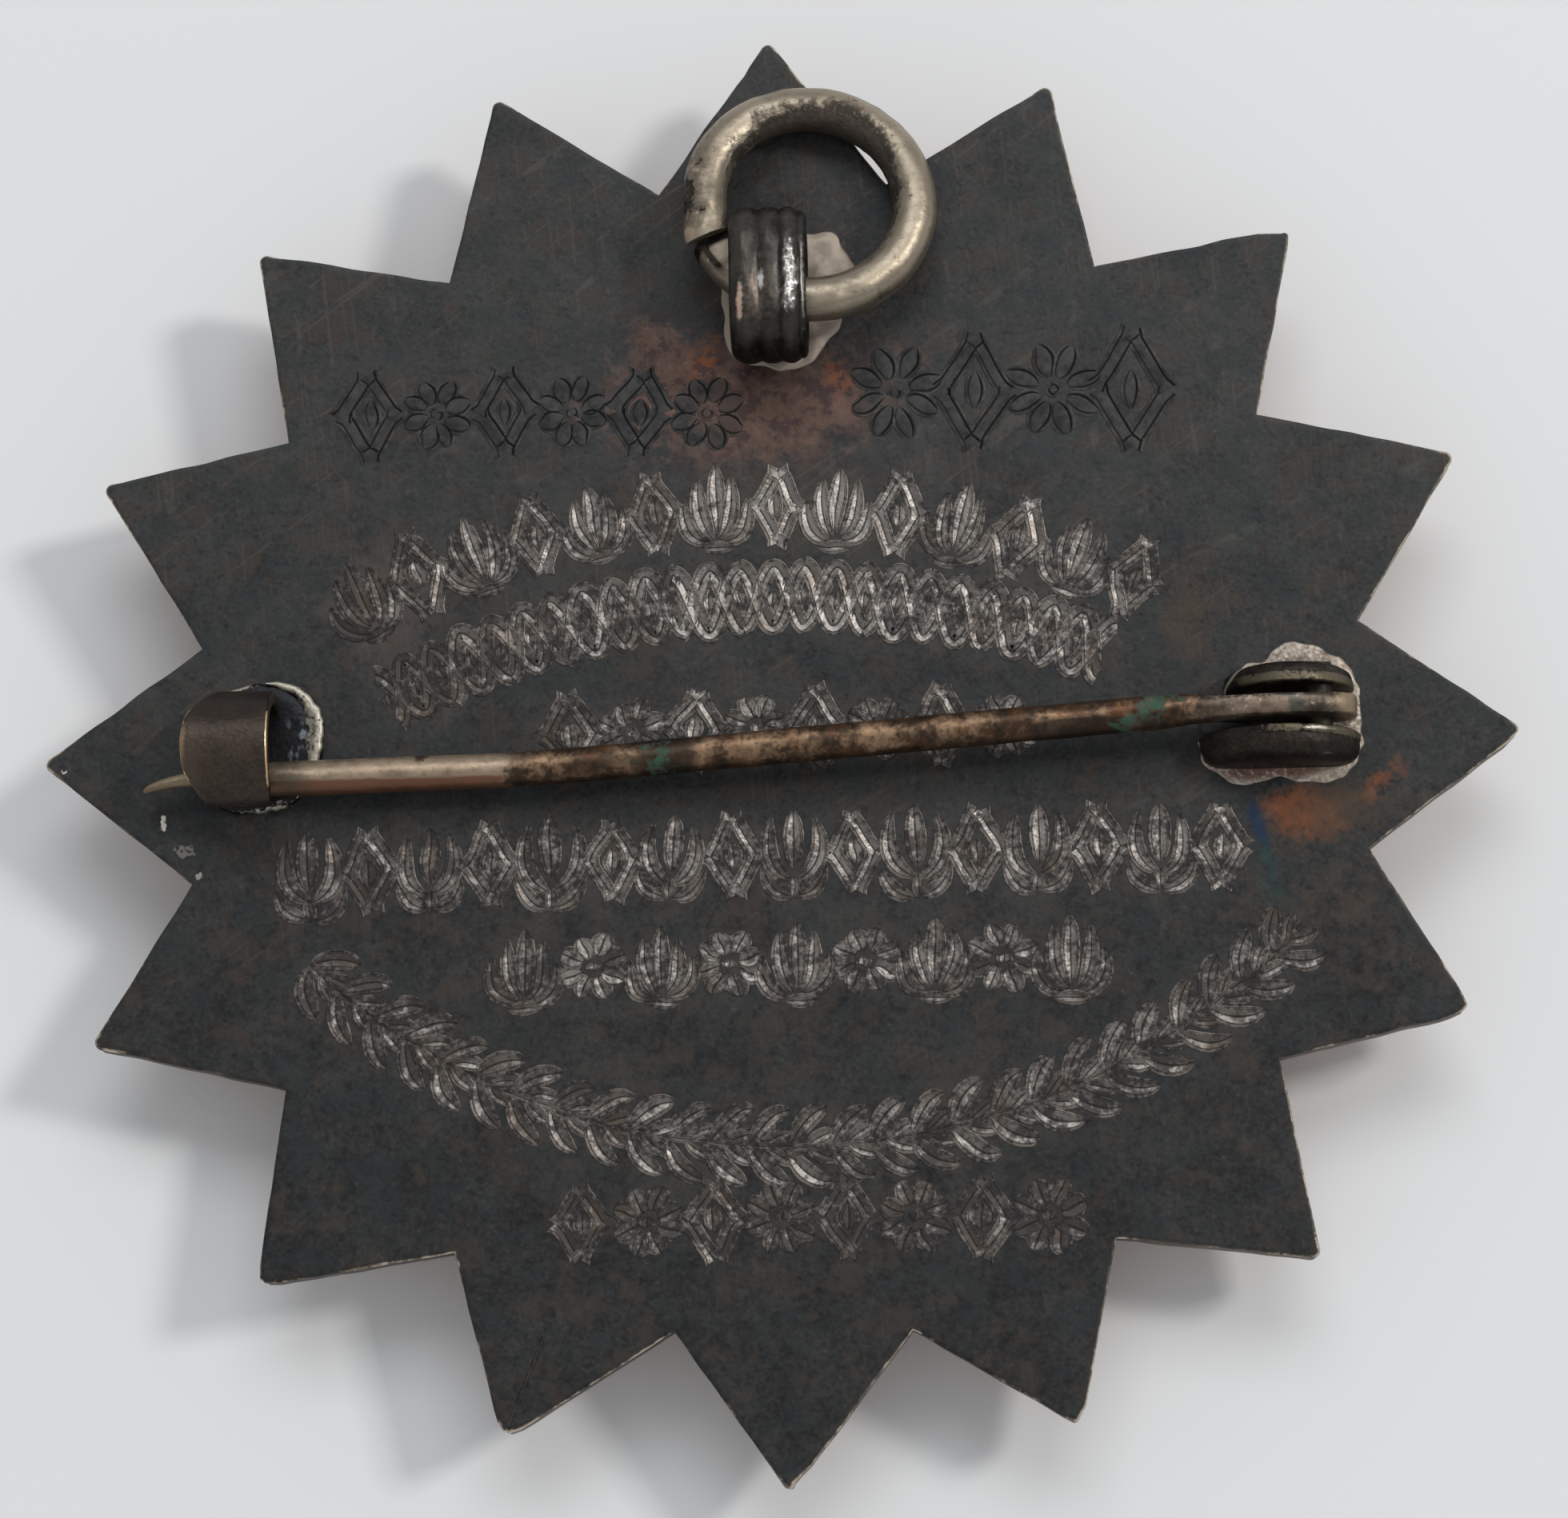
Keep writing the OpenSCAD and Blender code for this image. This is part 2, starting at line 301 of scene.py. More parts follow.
class Shade:
    """A material in the making, painted in layers. Its coordinates are the object's own, in millimetres."""

    def __init__(self, name: str) -> None:
        """Makes an empty material.

        Args:
            name: The material's name.
        """
        self.material = bpy.data.materials.new(name)
        self.material.use_nodes = True
        self.tree = self.material.node_tree
        self.tree.nodes.clear()
        own = self.node("ShaderNodeTexCoord").outputs["Object"]
        scaled = self.node("ShaderNodeVectorMath", {"operation": "SCALE"}, {0: own, "Scale": 1 / MM})
        self.coord = scaled.outputs[0]
        split = self.node("ShaderNodeSeparateXYZ", inputs={0: self.coord})
        self.x, self.y, self.z = (Value(self, out) for out in split.outputs)
        self.colour: Paint = (0.0, 0.0, 0.0)

    def node(
        self,
        kind: str,
        settings: Mapping[str, object] | None = None,
        inputs: Mapping[str | int, object] | None = None,
    ) -> bpy.types.Node:
        """Adds any node.

        Args:
            kind: The node's type name.
            settings: Its properties, which are set first.
            inputs: Values or links for its sockets, by name or number.

        Returns:
            The node.
        """
        made = self.tree.nodes.new(kind)
        for key, value in (settings or {}).items():
            setattr(made, key, value)
        for key, value in (inputs or {}).items():
            value = value.socket if isinstance(value, Value) else value
            if isinstance(value, bpy.types.NodeSocket):
                self.tree.links.new(value, made.inputs[key])
            elif isinstance(value, tuple) and made.inputs[key].type == "RGBA":
                made.inputs[key].default_value = (*value, 1.0)
            else:
                made.inputs[key].default_value = value
        return made

    def mark(self, name: str) -> Value:
        """Reads a mark of the mesh."""
        return Value(self, self.node("ShaderNodeAttribute", {"attribute_name": name}).outputs["Fac"])

    def noise(self, wave: float, detail: float = 2, rough: float = 0.6, seed: float = 0, at: object = None) -> Value:
        """Cloudy noise of about 0.3 to 0.7.

        Args:
            wave: Size of its largest patches, in mm.
            detail: Number of finer layers.
            rough: Weight of the finer layers.
            seed: Picks another part of the pattern.
            at: Coordinates other than the object's own.

        Returns:
            The noise.
        """
        shift = (seed * 13.7, seed * 7.3, seed * 3.1)
        moved = self.node("ShaderNodeVectorMath", {"operation": "ADD"}, {0: at or self.coord, 1: shift}).outputs[0]
        made = self.node(
            "ShaderNodeTexNoise",
            {"noise_dimensions": "3D"},
            {"Vector": moved, "Scale": 1 / wave, "Detail": detail, "Roughness": rough},
        )
        return Value(self, made.outputs[0])

    def streaks(self, size: tuple[float, float, float], turn: float = 0, seed: float = 0, detail: float = 1) -> Value:
        """Noise that is drawn out along one direction.

        Args:
            size: Size of its patches along X, Y and Z, in mm, before the turn.
            turn: Turn about Z, in degrees.
            seed: Picks another part of the pattern.
            detail: Number of finer layers.

        Returns:
            The noise.
        """
        drawn_out = self.node(
            "ShaderNodeMapping",
            {"vector_type": "TEXTURE"},
            {0: self.coord, "Rotation": (0, 0, math.radians(turn)), "Scale": size},
        ).outputs[0]
        return self.noise(1, detail, 0.6, seed, drawn_out)

    def mix(self, amount: Value | float, low: Paint, high: Paint) -> bpy.types.NodeSocket:
        """Blends two colours.

        Args:
            amount: 0 gives the first and 1 the second.
            low: The first colour.
            high: The second colour.

        Returns:
            The blend.
        """
        made = self.node("ShaderNodeMix", {"data_type": "RGBA", "clamp_factor": True}, {0: amount, 6: low, 7: high})
        return made.outputs[2]

    def lay(self, amount: Value | float, paint: Paint) -> None:
        """Lays a paint over the colour so far: not at all where the amount is 0, and wholly where it is 1."""
        self.colour = self.mix(amount, self.colour, paint)

    def metal(
        self,
        roughness: Value | float,
        metallic: Value | float,
        height: Value | None = None,
        specular: float = 0.4,
    ) -> bpy.types.Material:
        """Joins up the surface, with the colour that has been laid.

        Args:
            roughness: Roughness.
            metallic: Share of bare metal.
            height: Fine relief in mm, for the bump.
            specular: Level of the reflection that isn't bare metal's.

        Returns:
            The finished material.
        """
        inputs: dict[str | int, object] = {
            "Base Color": self.colour,
            "Roughness": roughness,
            "Metallic": metallic,
            "Specular IOR Level": specular,
        }
        if height is not None:
            inputs["Normal"] = self.node(
                "ShaderNodeBump", {}, {"Strength": 1.0, "Distance": MM, "Height": height}
            ).outputs[0]
        shader = self.node("ShaderNodeBsdfPrincipled", {}, inputs)
        self.node("ShaderNodeOutputMaterial", {}, {"Surface": shader.outputs[0]})
        return self.material


class Tint(Enum):
    """Kinds of stain on the star, each with its colour and its full strength."""

    RED = ((0.118, 0.069, 0.054), 0.95)
    RUST = ((0.225, 0.069, 0.022), 0.90)
    BROWN = ((0.068, 0.047, 0.033), 0.80)
    BLUE = ((0.009, 0.028, 0.066), 0.85)
    TEAL = ((0.017, 0.048, 0.044), 0.75)
    SOOT = ((0.011, 0.010, 0.010), 0.80)
    HAZE = ((0.078, 0.064, 0.055), 0.80)

    @property
    def mark(self) -> str:
        """Name of the mark that carries it."""
        return f"tint_{self.name.lower()}"


@dataclass(frozen=True)
class Stain:
    """An oval patch of one tint, which fades out from its middle."""

    tint: Tint
    at: Place
    reach: Place
    strength: float
    turn: float = 0.0

    def mask(self, x: Array, y: Array) -> Array:
        """Strength times e to the minus square of the turned offset over the reach.

        Args:
            x: Places, in mm.
            y: Places, in mm.

        Returns:
            How much of the tint lies on each place.
        """
        cos, sin = math.cos(math.radians(self.turn)), math.sin(math.radians(self.turn))
        dx, dy = x - self.at[0], y - self.at[1]
        along, across = (dx * cos + dy * sin) / self.reach[0], (dy * cos - dx * sin) / self.reach[1]
        return self.strength * np.exp(-(along**2) - across**2)


@dataclass(frozen=True)
class TarnishedSilver:
    """Dark grey tarnish on the star, mottled olive, blue and brown, with worn edges, stains and fine scratches."""

    dark: Colour = (0.0125, 0.0125, 0.0135)
    light: Colour = (0.0545, 0.0545, 0.0530)
    warm: Colour = (0.054, 0.042, 0.033)
    cold: Colour = (0.027, 0.033, 0.035)
    edge: Colour = (0.20, 0.158, 0.118)
    worn: Colour = (0.56, 0.485, 0.375)
    rubbed: Colour = (0.60, 0.56, 0.51)
    front: Colour = (0.62, 0.38, 0.23)
    front_dull: Colour = (0.36, 0.21, 0.13)
    halo: Colour = (0.062, 0.055, 0.049)
    clot: Colour = (0.046, 0.030, 0.031)
    flake: Colour = (0.170, 0.112, 0.088)
    scratch: Colour = (0.17, 0.165, 0.155)
    side: Colour = (0.150, 0.122, 0.100)
    # Small rubbed places: x, y, reach on both axes, and how bright
    rubs: Table = (
        (-19.34, -1.94, 0.16, 0.48, 1.0),
        (-18.65, -2.85, 0.55, 0.34, 0.20),
        (-18.22, -3.62, 0.16, 0.26, 0.45),
        (-22.48, -0.22, 0.14, 0.12, 1.0),
    )

    def build(self) -> bpy.types.Material:
        """Makes the material; it reads the marks `wear`, `wall`, `near` and those of the tints."""
        s = Shade("tarnished_silver")
        wear, wall, near = s.mark("wear"), s.mark("wall"), s.mark("near")
        mottle, fine, hue = s.noise(2.6, 3, 0.68, 3), s.noise(0.36, 2, 0.75, 5), s.noise(1.1, 2, 0.65, 11)
        grain = s.noise(0.12, 0, 0.5, 31)
        coarse, broken = mottle.swing(1.5) + fine.swing(1.3), hue.swing(1.7) + fine.swing(1.6)
        # The ground: paler towards the top as painted light from above, mottled, warm and cold in places, and greyer
        # round the cuts
        upper = s.y.rise(-16, 14)
        tone = upper * 0.30 + mottle * 0.95 + fine * 1.1 + grain * 0.55
        s.colour = s.mix(tone.rise(0.80, 2.10), self.dark, self.light)
        s.lay(hue.rise(0.50, 0.66) * 0.5, self.warm)
        s.lay(hue.fall(0.34, 0.50) * 0.45, self.cold)
        s.lay(near * (mottle * 1.5 + fine * 1.1).rise(0.9, 1.7) * 0.5, self.halo)
        # Stains, soft or ragged; the red ones have dark clots and pale flakes
        for tint in Tint:
            paint, full = tint.value
            uneven = coarse if tint in (Tint.SOOT, Tint.BROWN, Tint.HAZE) else broken
            s.lay((s.mark(tint.mark) * 1.5 + uneven - 0.62).rise(0.0, 1.1) * full, paint)
        clot, red = s.noise(0.62, 3, 0.75, 41), s.mark(Tint.RED.mark).least(1.0)
        s.lay(red * clot.rise(0.48, 0.60) * 0.80, self.clot)
        s.lay(red * clot.fall(0.34, 0.46) * 0.35, self.flake)
        # Fine scratches in two directions, bright specks and small rubbed places
        steep = s.streaks((24, 0.5, 50), 96, 2, 0).near(0.5, 0.03)
        slanting = s.streaks((20, 0.8, 50), 35, 5, 0).near(0.5, 0.025)
        lines = steep.most(slanting) * hue.rise(0.48, 0.60) * (upper * 0.10 + 0.04)
        s.lay(lines.most(grain.rise(0.84, 0.90) * 0.15), self.scratch)
        for x, y, wide, high, bright in self.rubs:
            rub = s.x.near(x, wide) * s.y.near(y, high)
            s.lay((rub * (1.3 + grain.swing(4)) - 0.35).rise(0, 0.4) * bright, self.rubbed)
        # The wall, the worn bevel round the back, and the hidden front
        s.lay((wall * (mottle * 0.9 + fine * 0.9)).rise(0.50, 1.10) * 0.8, self.side)
        thin = wear.rise(0.25, 0.6)
        s.lay(thin * (wear * 0.8 + coarse * 0.8).rise(0.1, 0.8), self.edge)
        bright = thin * (wear * 0.9 + broken * 0.9 - 0.46).rise(0.0, 0.45)
        s.lay(bright, self.worn)
        front = s.z.fall(Star.boss_h + 0.02, Star.boss_h + 0.08)
        s.lay(front, s.mix(tone.rise(0.9, 1.9), self.front_dull, self.front))
        rough = 0.58 + fine.swing(0.5) - upper * 0.05 - bright * 0.25 - front * 0.12
        return s.metal(rough, 0.45 + bright.most(front) * 0.5, fine * 0.014 + grain * 0.004, 0.3)


@dataclass(frozen=True)
class CutSilver:
    """Engraved strokes: two facets down to a dark line, with a thin light burr along both sides.

    The far facet is painted darker, as painted shade.
    """

    facet: Colour = (0.33, 0.305, 0.28)
    dull: Colour = (0.062, 0.056, 0.052)
    burr: Colour = (0.185, 0.160, 0.142)
    line: Colour = (0.013, 0.012, 0.012)
    tan: Colour = (0.135, 0.098, 0.070)
    shaded_facet: Colour = (0.045, 0.040, 0.038)
    burr_dull: Colour = (0.034, 0.031, 0.030)
    crease: Colour = (0.022, 0.020, 0.020)
    margin: Colour = (0.026, 0.025, 0.026)
    depth: float = 0.10

    def build(self) -> bpy.types.Material:
        """Makes the material; it reads the marks `across` and `tone`."""
        s = Shade("cut_silver")
        across, tone = s.mark("across"), s.mark("tone")
        out = abs(across)
        patch, grit = s.noise(0.9, 2, 0.65, 2), s.noise(0.16, 1, 0.6, 4)
        rubbed = s.x.near(-11, 5) * s.y.near(6, 4) * 0.2
        clean = (tone * 1.0 + patch * 1.7 + grit * 1.4 - 1.60 + rubbed).rise(0.0, 0.75)
        s.colour = s.mix(clean, self.dull, self.facet)
        s.lay(s.noise(1.5, 1, 0.5, 9).rise(0.50, 0.68) * 0.45, self.tan)
        # Painted shade on the far facet of each cut
        s.lay(across.rise(0.0, 0.3) * 0.35, self.shaded_facet)
        s.lay(out.fall(0.06, 0.16) * 0.85, self.line)
        lit = (grit * 1.0 + patch * 1.0 + tone * 0.3 - 0.95).rise(-0.05, 0.40)
        s.lay(out.rise(0.66, 0.74), s.mix(lit, self.burr_dull, self.burr))
        s.lay(out.near(0.70, 0.07) * 0.75, self.crease)
        s.lay(out.rise(0.93, 1.02) * 0.9, self.margin)
        height = out.least(0.7) * self.depth + grit * 0.03 + out.rise(0.76, 0.86) * 0.02
        return s.metal(0.42 + (1 - clean) * 0.2, 0.55 + clean * 0.35, height)


@dataclass(frozen=True)
class PunchedSilver:
    """Stamped marks: a flat floor as dark as the plate, a thin dark line round it and a thin broken lip."""

    floor: Colour = (0.021, 0.021, 0.022)
    pale: Colour = (0.058, 0.057, 0.055)
    line: Colour = (0.0085, 0.0080, 0.0075)
    lip: Colour = (0.082, 0.073, 0.066)
    red: Colour = (0.078, 0.052, 0.042)

    def build(self) -> bpy.types.Material:
        """Makes the material; it reads the mark `across`. Near the bail the marks are stained red."""
        s = Shade("punched_silver")
        out = abs(s.mark("across"))
        patch, grit = s.noise(0.9, 2, 0.65, 6), s.noise(0.2, 1, 0.6, 7)
        s.colour = s.mix((patch + grit * 0.7).rise(0.55, 1.15), self.floor, self.pale)
        stained = s.x.near(0.2, 5.0) * s.y.near(11.0, 3.5)
        s.lay((stained * 1.5 + patch * 1.4 - 1.1).rise(0, 0.7) * 0.8, self.red)
        s.lay(out.near(0.70, 0.16) * 0.85, self.line)
        s.lay(out.near(0.86, 0.10) * (patch + grit * 0.5).rise(0.70, 0.92), self.lip)
        height = out.rise(0.55, 0.75) * 0.10 + patch * 0.01
        return s.metal(0.56, 0.45, height, 0.3)


@dataclass(frozen=True)
class Solder:
    """Silver solder that flowed out round the fittings: pale pinkish beige, matt, lumpy and a little pitted."""

    pale: Colour = (0.340, 0.284, 0.232)
    pink: Colour = (0.215, 0.122, 0.094)
    dirty: Colour = (0.125, 0.092, 0.072)
    black: Colour = (0.024, 0.018, 0.014)
    bright: Colour = (0.62, 0.57, 0.50)
    pit: Colour = (0.09, 0.065, 0.052)

    def build(self) -> bpy.types.Material:
        """Makes the material; it reads the marks `rim`, 1 at the edge of the spread, and `dim`, 1 where it is dull.

        Only the spread at the hinge is pitted.
        """
        s = Shade("solder")
        rim, dim = s.mark("rim"), s.mark("dim")
        lump, grit = s.noise(0.8, 2, 0.6, 3), s.noise(0.15, 1, 0.5, 5)
        pitted = s.x.rise(8, 11)
        clean = (lump + grit * 0.45 + rim * 0.15 - pitted * 0.2 + 0.2).rise(0.46, 0.80)
        s.colour = s.mix(clean, self.dirty, self.pale)
        s.lay((dim * 1.5 - rim * 0.5 + grit.swing(1.2)).rise(0.2, 0.9), self.pink)
        s.lay(dim.rise(1.0, 1.6), self.black)
        s.lay((grit + rim * 0.12).rise(0.60, 0.72) * 0.5 * pitted, self.bright)
        s.lay(grit.fall(0.28, 0.42) * 0.6 * pitted, self.pit)
        return s.metal(0.52 + (1 - clean) * 0.12, 0.55, lump * 0.04 + grit * (pitted * 0.02 + 0.006))


@dataclass(frozen=True)
class ReededStrip:
    """The bail's strip: nearly black, rubbed silver on the right rib, painted light, sheen and copper highlight."""

    black: Colour = (0.012, 0.0105, 0.0095)
    steel: Colour = (0.078, 0.070, 0.062)
    bright: Colour = (0.66, 0.65, 0.62)
    copper: Colour = (0.66, 0.47, 0.36)
    foot: Colour = (0.33, 0.19, 0.12)
    sheen: Colour = (0.165, 0.130, 0.105)
    grey: Colour = (0.30, 0.29, 0.275)

    def build(self) -> bpy.types.Material:
        """Makes the material; it reads the mark `crown`, which is 1 on top of a rib.

        The painted highlights and sheen, and the rubbed right rib, are smooth peaks across and along the strip,
        broken up by noise drawn out along it.
        """
        s = Shade("reeded_strip")
        crown = s.mark("crown")
        patch, grit = s.noise(0.8, 2, 0.6, 4), s.noise(0.16, 1, 0.6, 8)
        streak = s.streaks((0.18, 0.6, 0.6), 0, 3)
        uneven = streak.swing(1.4) + grit.swing(1.8)
        # Painted light: the loop is lighter towards its top and on its ribs' tops, and all painted highlights are
        # strongest on top
        high = s.z.rise(BACK + 1.6, BACK + 3.2)
        dull = (crown * 0.35 + high * 0.7 + patch * 0.9 + streak * 0.6 + grit * 0.5 - 1.2).rise(0.0, 1.2)
        s.colour = s.mix(dull, self.black, self.steel)
        # Painted highlights and sheen, from the left rib to the lip on the right, and rubbed silver on the right rib
        left = s.x.near(-0.86, 0.20) * s.y.near(13.55, 1.1)
        sheen = s.x.near(-0.35, 0.75) * s.y.near(13.6, 1.3)
        middle = s.x.near(-0.19, 0.18) * s.y.near(14.15, 0.60)
        right = s.x.near(0.66, 0.42) * s.y.near(14.25, 2.0).rise(0.02, 0.6)
        lip = s.x.near(1.10, 0.12) * s.y.near(14.1, 2.6)
        s.lay((high * sheen * 1.2 + uneven * 0.6 - 0.25).rise(0, 0.9) * 0.7, self.sheen)
        s.lay((high * left * 1.5 + uneven * 0.7 - 0.35).rise(0, 1.1), self.copper)
        s.lay((high * middle * 1.6 + uneven * 0.5 - 0.4).rise(0, 1.0), self.bright)
        ragged = patch.swing(1.8) + streak.swing(1.6) + grit.swing(0.9)
        # The right rib's rubbed silver, brightest on top as painted highlight
        rubbed = (high * right * 1.35 + ragged - 0.55).rise(0, 0.7)
        s.lay(rubbed * 0.9, self.grey)
        s.lay((rubbed + grit.swing(2.4) + (streak - 0.5) - 0.8).rise(0, 0.5), self.bright)
        s.lay((high * lip * 1.3 + uneven * 0.8 - 0.55).rise(0, 0.8) * 0.35, self.bright)
        foot = s.z.fall(BACK + 0.12, BACK + 0.55) * (patch + grit * 0.5).rise(0.55, 0.85)
        s.lay(foot * 0.8, self.foot)
        height = patch * 0.03 + streak * 0.016 + grit * 0.03 * (0.25 + right)
        return s.metal(0.43 + grit.swing(0.35), 0.88, height)


@dataclass(frozen=True)
class HingeBronze:
    """The hinge ears: satin dark brown, with olive-grey lips and thin painted highlights along the lips and on one
    end.
    """

    dark: Colour = (0.018, 0.0145, 0.012)
    brown: Colour = (0.055, 0.042, 0.032)
    olive: Colour = (0.140, 0.118, 0.080)
    bright: Colour = (0.56, 0.52, 0.45)

    def build(self) -> bpy.types.Material:
        """Makes the material; it reads the marks `lip` and `wear`; `wear` carries the painted highlights."""
        s = Shade("hinge_bronze")
        lip, wear = s.mark("lip"), s.mark("wear")
        patch, grit = s.noise(0.6, 2, 0.65, 5), s.noise(0.12, 1, 0.6, 6)
        uneven = patch.swing(1.6) + grit.swing(1.2)
        s.colour = s.mix((uneven + 0.32 + s.x.fall(13.4, 15.2) * 0.3).rise(0, 0.9) * 0.8, self.dark, self.brown)
        s.lay((lip * 1.2 + uneven * 1.3 - 0.5).rise(0, 0.6) * 0.9, self.olive)
        # Painted highlight along the lips and on the upper ear's left end
        s.lay((wear * 1.2 + uneven * 0.5 - 0.6).rise(0, 0.4), self.bright)
        return s.metal(0.50 + patch.swing(0.4), 0.75, patch * 0.02 + grit * 0.014)


@dataclass(frozen=True)
class HookBronze:
    """The catch: satin brown hook with painted copper-gold highlights on its edges, and a beige worn rim.

    The base is painted dark as shade under the hook, and painted highlights lie on its edge.
    """

    dark: Colour = (0.044, 0.035, 0.029)
    brown: Colour = (0.086, 0.064, 0.049)
    shaded: Colour = (0.026, 0.021, 0.018)
    rubbed: Colour = (0.165, 0.118, 0.092)
    copper: Colour = (0.40, 0.26, 0.145)
    gold: Colour = (0.92, 0.63, 0.36)
    silver: Colour = (0.52, 0.48, 0.40)
    blue: Colour = (0.24, 0.27, 0.31)
    ground: Colour = (0.016, 0.017, 0.020)

    def build(self) -> bpy.types.Material:
        """Makes the material; it reads the marks `edge`, `rim` and `base`.

        `edge` carries painted highlights, and `rim` the worn rim and painted highlights on the base's edge.
        """
        s = Shade("hook_bronze")
        edge, rim, base = s.mark("edge"), s.mark("rim"), s.mark("base")
        patch, grit = s.noise(1.1, 2, 0.6, 5), s.noise(0.13, 1, 0.6, 6)
        uneven = patch.swing(1.3) + grit.swing(1.1)
        s.colour = s.mix((uneven + 0.5).rise(0, 1), self.dark, self.brown)
        # The hook: painted shade towards the top, rubbed along its left, and a painted copper highlight on its left
        # edge
        s.lay(s.y.rise(-0.2, 0.9) * 0.55, self.shaded)
        s.lay(s.x.fall(-18.2, -17.5) * s.y.fall(0.2, 0.8) * 0.3, self.rubbed)
        s.lay(s.x.fall(-18.36, -18.14) * s.y.near(0.1, 1.2) * 0.8, self.copper)
        # The base, painted dark as shade under the hook, with painted blue glints beside the hook
        s.lay(base * 0.9, self.ground)
        glint = s.streaks((0.22, 0.5, 1), 0, 14).rise(0.54, 0.68) * base * s.x.rise(-15.6, -15.2)
        s.lay(glint * s.y.fall(0.9, 1.4) * 0.55, self.blue)
        # Painted gold highlights on the hook's edges, then the beige worn rim with painted highlights on the base's
        # edge
        edge_highlight = (edge * 1.5 + uneven * 0.9 - 0.75).rise(0.0, 0.4)
        s.lay(edge_highlight, self.gold)
        beige = (rim * 1.5 + uneven * 1.5 - 0.75).rise(0.0, 0.6)
        s.lay(beige, self.silver)
        rough = 0.44 + patch.swing(0.3) + beige * 0.08 - edge_highlight * 0.1
        return s.metal(rough, 0.85, patch * 0.012 + grit * 0.012)


@dataclass(frozen=True)
class NickelSilver:
    """The jump ring: satin champagne wire with faint drawn-out streaks, dark brown, rough and pitted inside.

    The dark brown inside is partly grime and partly painted shade.
    """

    pale: Colour = (0.384, 0.326, 0.246)
    grey: Colour = (0.268, 0.226, 0.172)
    worn: Colour = (0.135, 0.110, 0.085)
    brown: Colour = (0.056, 0.042, 0.034)
    black: Colour = (0.018, 0.013, 0.011)
    matt: Colour = (0.40, 0.335, 0.265)
    tan: Colour = (0.47, 0.36, 0.25)
    fleck: Colour = (0.34, 0.26, 0.16)
    glint: Colour = (0.46, 0.41, 0.34)
    spot: Colour = (0.11, 0.085, 0.060)

    def build(self) -> bpy.types.Material:
        """Makes the material; it reads the marks `inner`, `along`, `turn`, `facet`, `groove` and `pinch`."""
        s = Shade("nickel_silver")
        inner, facet, groove, pinch = (s.mark(name) for name in ("inner", "facet", "groove", "pinch"))
        patch, pit = s.noise(0.9, 2, 0.6, 3), s.noise(0.22, 2, 0.65, 10)
        around = self.streaks(s)
        uneven = patch.swing(1.2) + pit.swing(0.9) + around.swing(1.0)
        dirt_and_shade = (inner * 0.95 + uneven * 1.15 - 0.06).rise(-0.22, 0.40)
        # Bare wire, streaked along, spotted, and duller on the left
        s.colour = s.mix((patch * 0.8 + around * 0.9).rise(0.50, 1.15), self.grey, self.pale)
        s.lay(around.rise(0.58, 0.72) * 0.25, self.glint)
        s.lay(pit.rise(0.60, 0.70) * 0.4, self.spot)
        dull = s.x.fall(-2.9, -0.5) * (0.8 + pit.swing(1.8))
        s.lay(dull, self.worn)
        # Dirt and painted shade inside, with flecks; then the pinched and filed ends, and the painted shade of the
        # groove mark
        blotch = (inner.near(0.2, 0.7) * 0.9 + pit.swing(2.4) + patch - 0.60).rise(0, 0.6)
        dark_inside_colour = s.mix(blotch, self.brown, self.black)
        s.lay(dirt_and_shade * 0.92, dark_inside_colour)
        s.lay(dirt_and_shade * pit.rise(0.58, 0.68) * inner.near(0.2, 0.8) * 0.45, self.fleck)
        s.lay((pinch * 1.4 + pit.swing(2.2) - 0.55).rise(0, 0.6) * 0.9, self.black)
        s.lay((pinch * -1.4 + pit.swing(1.6) - 0.5).rise(0, 0.6) * 0.9, self.tan)
        s.lay(facet * (0.8 + pit.swing(1.2)), self.matt)
        # Painted shade: a dark line at the filed facet's outer edge, and the upper end's shadow on the lower end
        s.lay((groove * 1.6).least(1), self.black)
        rough = 0.42 + dirt_and_shade * 0.22 + facet * 0.15 + dull * 0.1 + pit.swing(0.25)
        height = patch * 0.02 + pit * (0.010 + dirt_and_shade * 0.03 + pinch * 0.05) + around * 0.006
        return s.metal(rough, 0.9 - dirt_and_shade * 0.4, height)

    def streaks(self, s: Shade) -> Value:
        """Noise that is drawn out along the wire, read from the marks `along` and `turn`."""
        joined = s.node("ShaderNodeCombineXYZ", {}, {0: s.mark("along"), 1: s.mark("turn"), 2: 0.0}).outputs[0]
        drawn_out = s.node("ShaderNodeMapping", {}, {0: joined, "Scale": (0.45, 6.0, 1.0)}).outputs[0]
        return s.noise(1, 1, 0.6, 5, drawn_out)


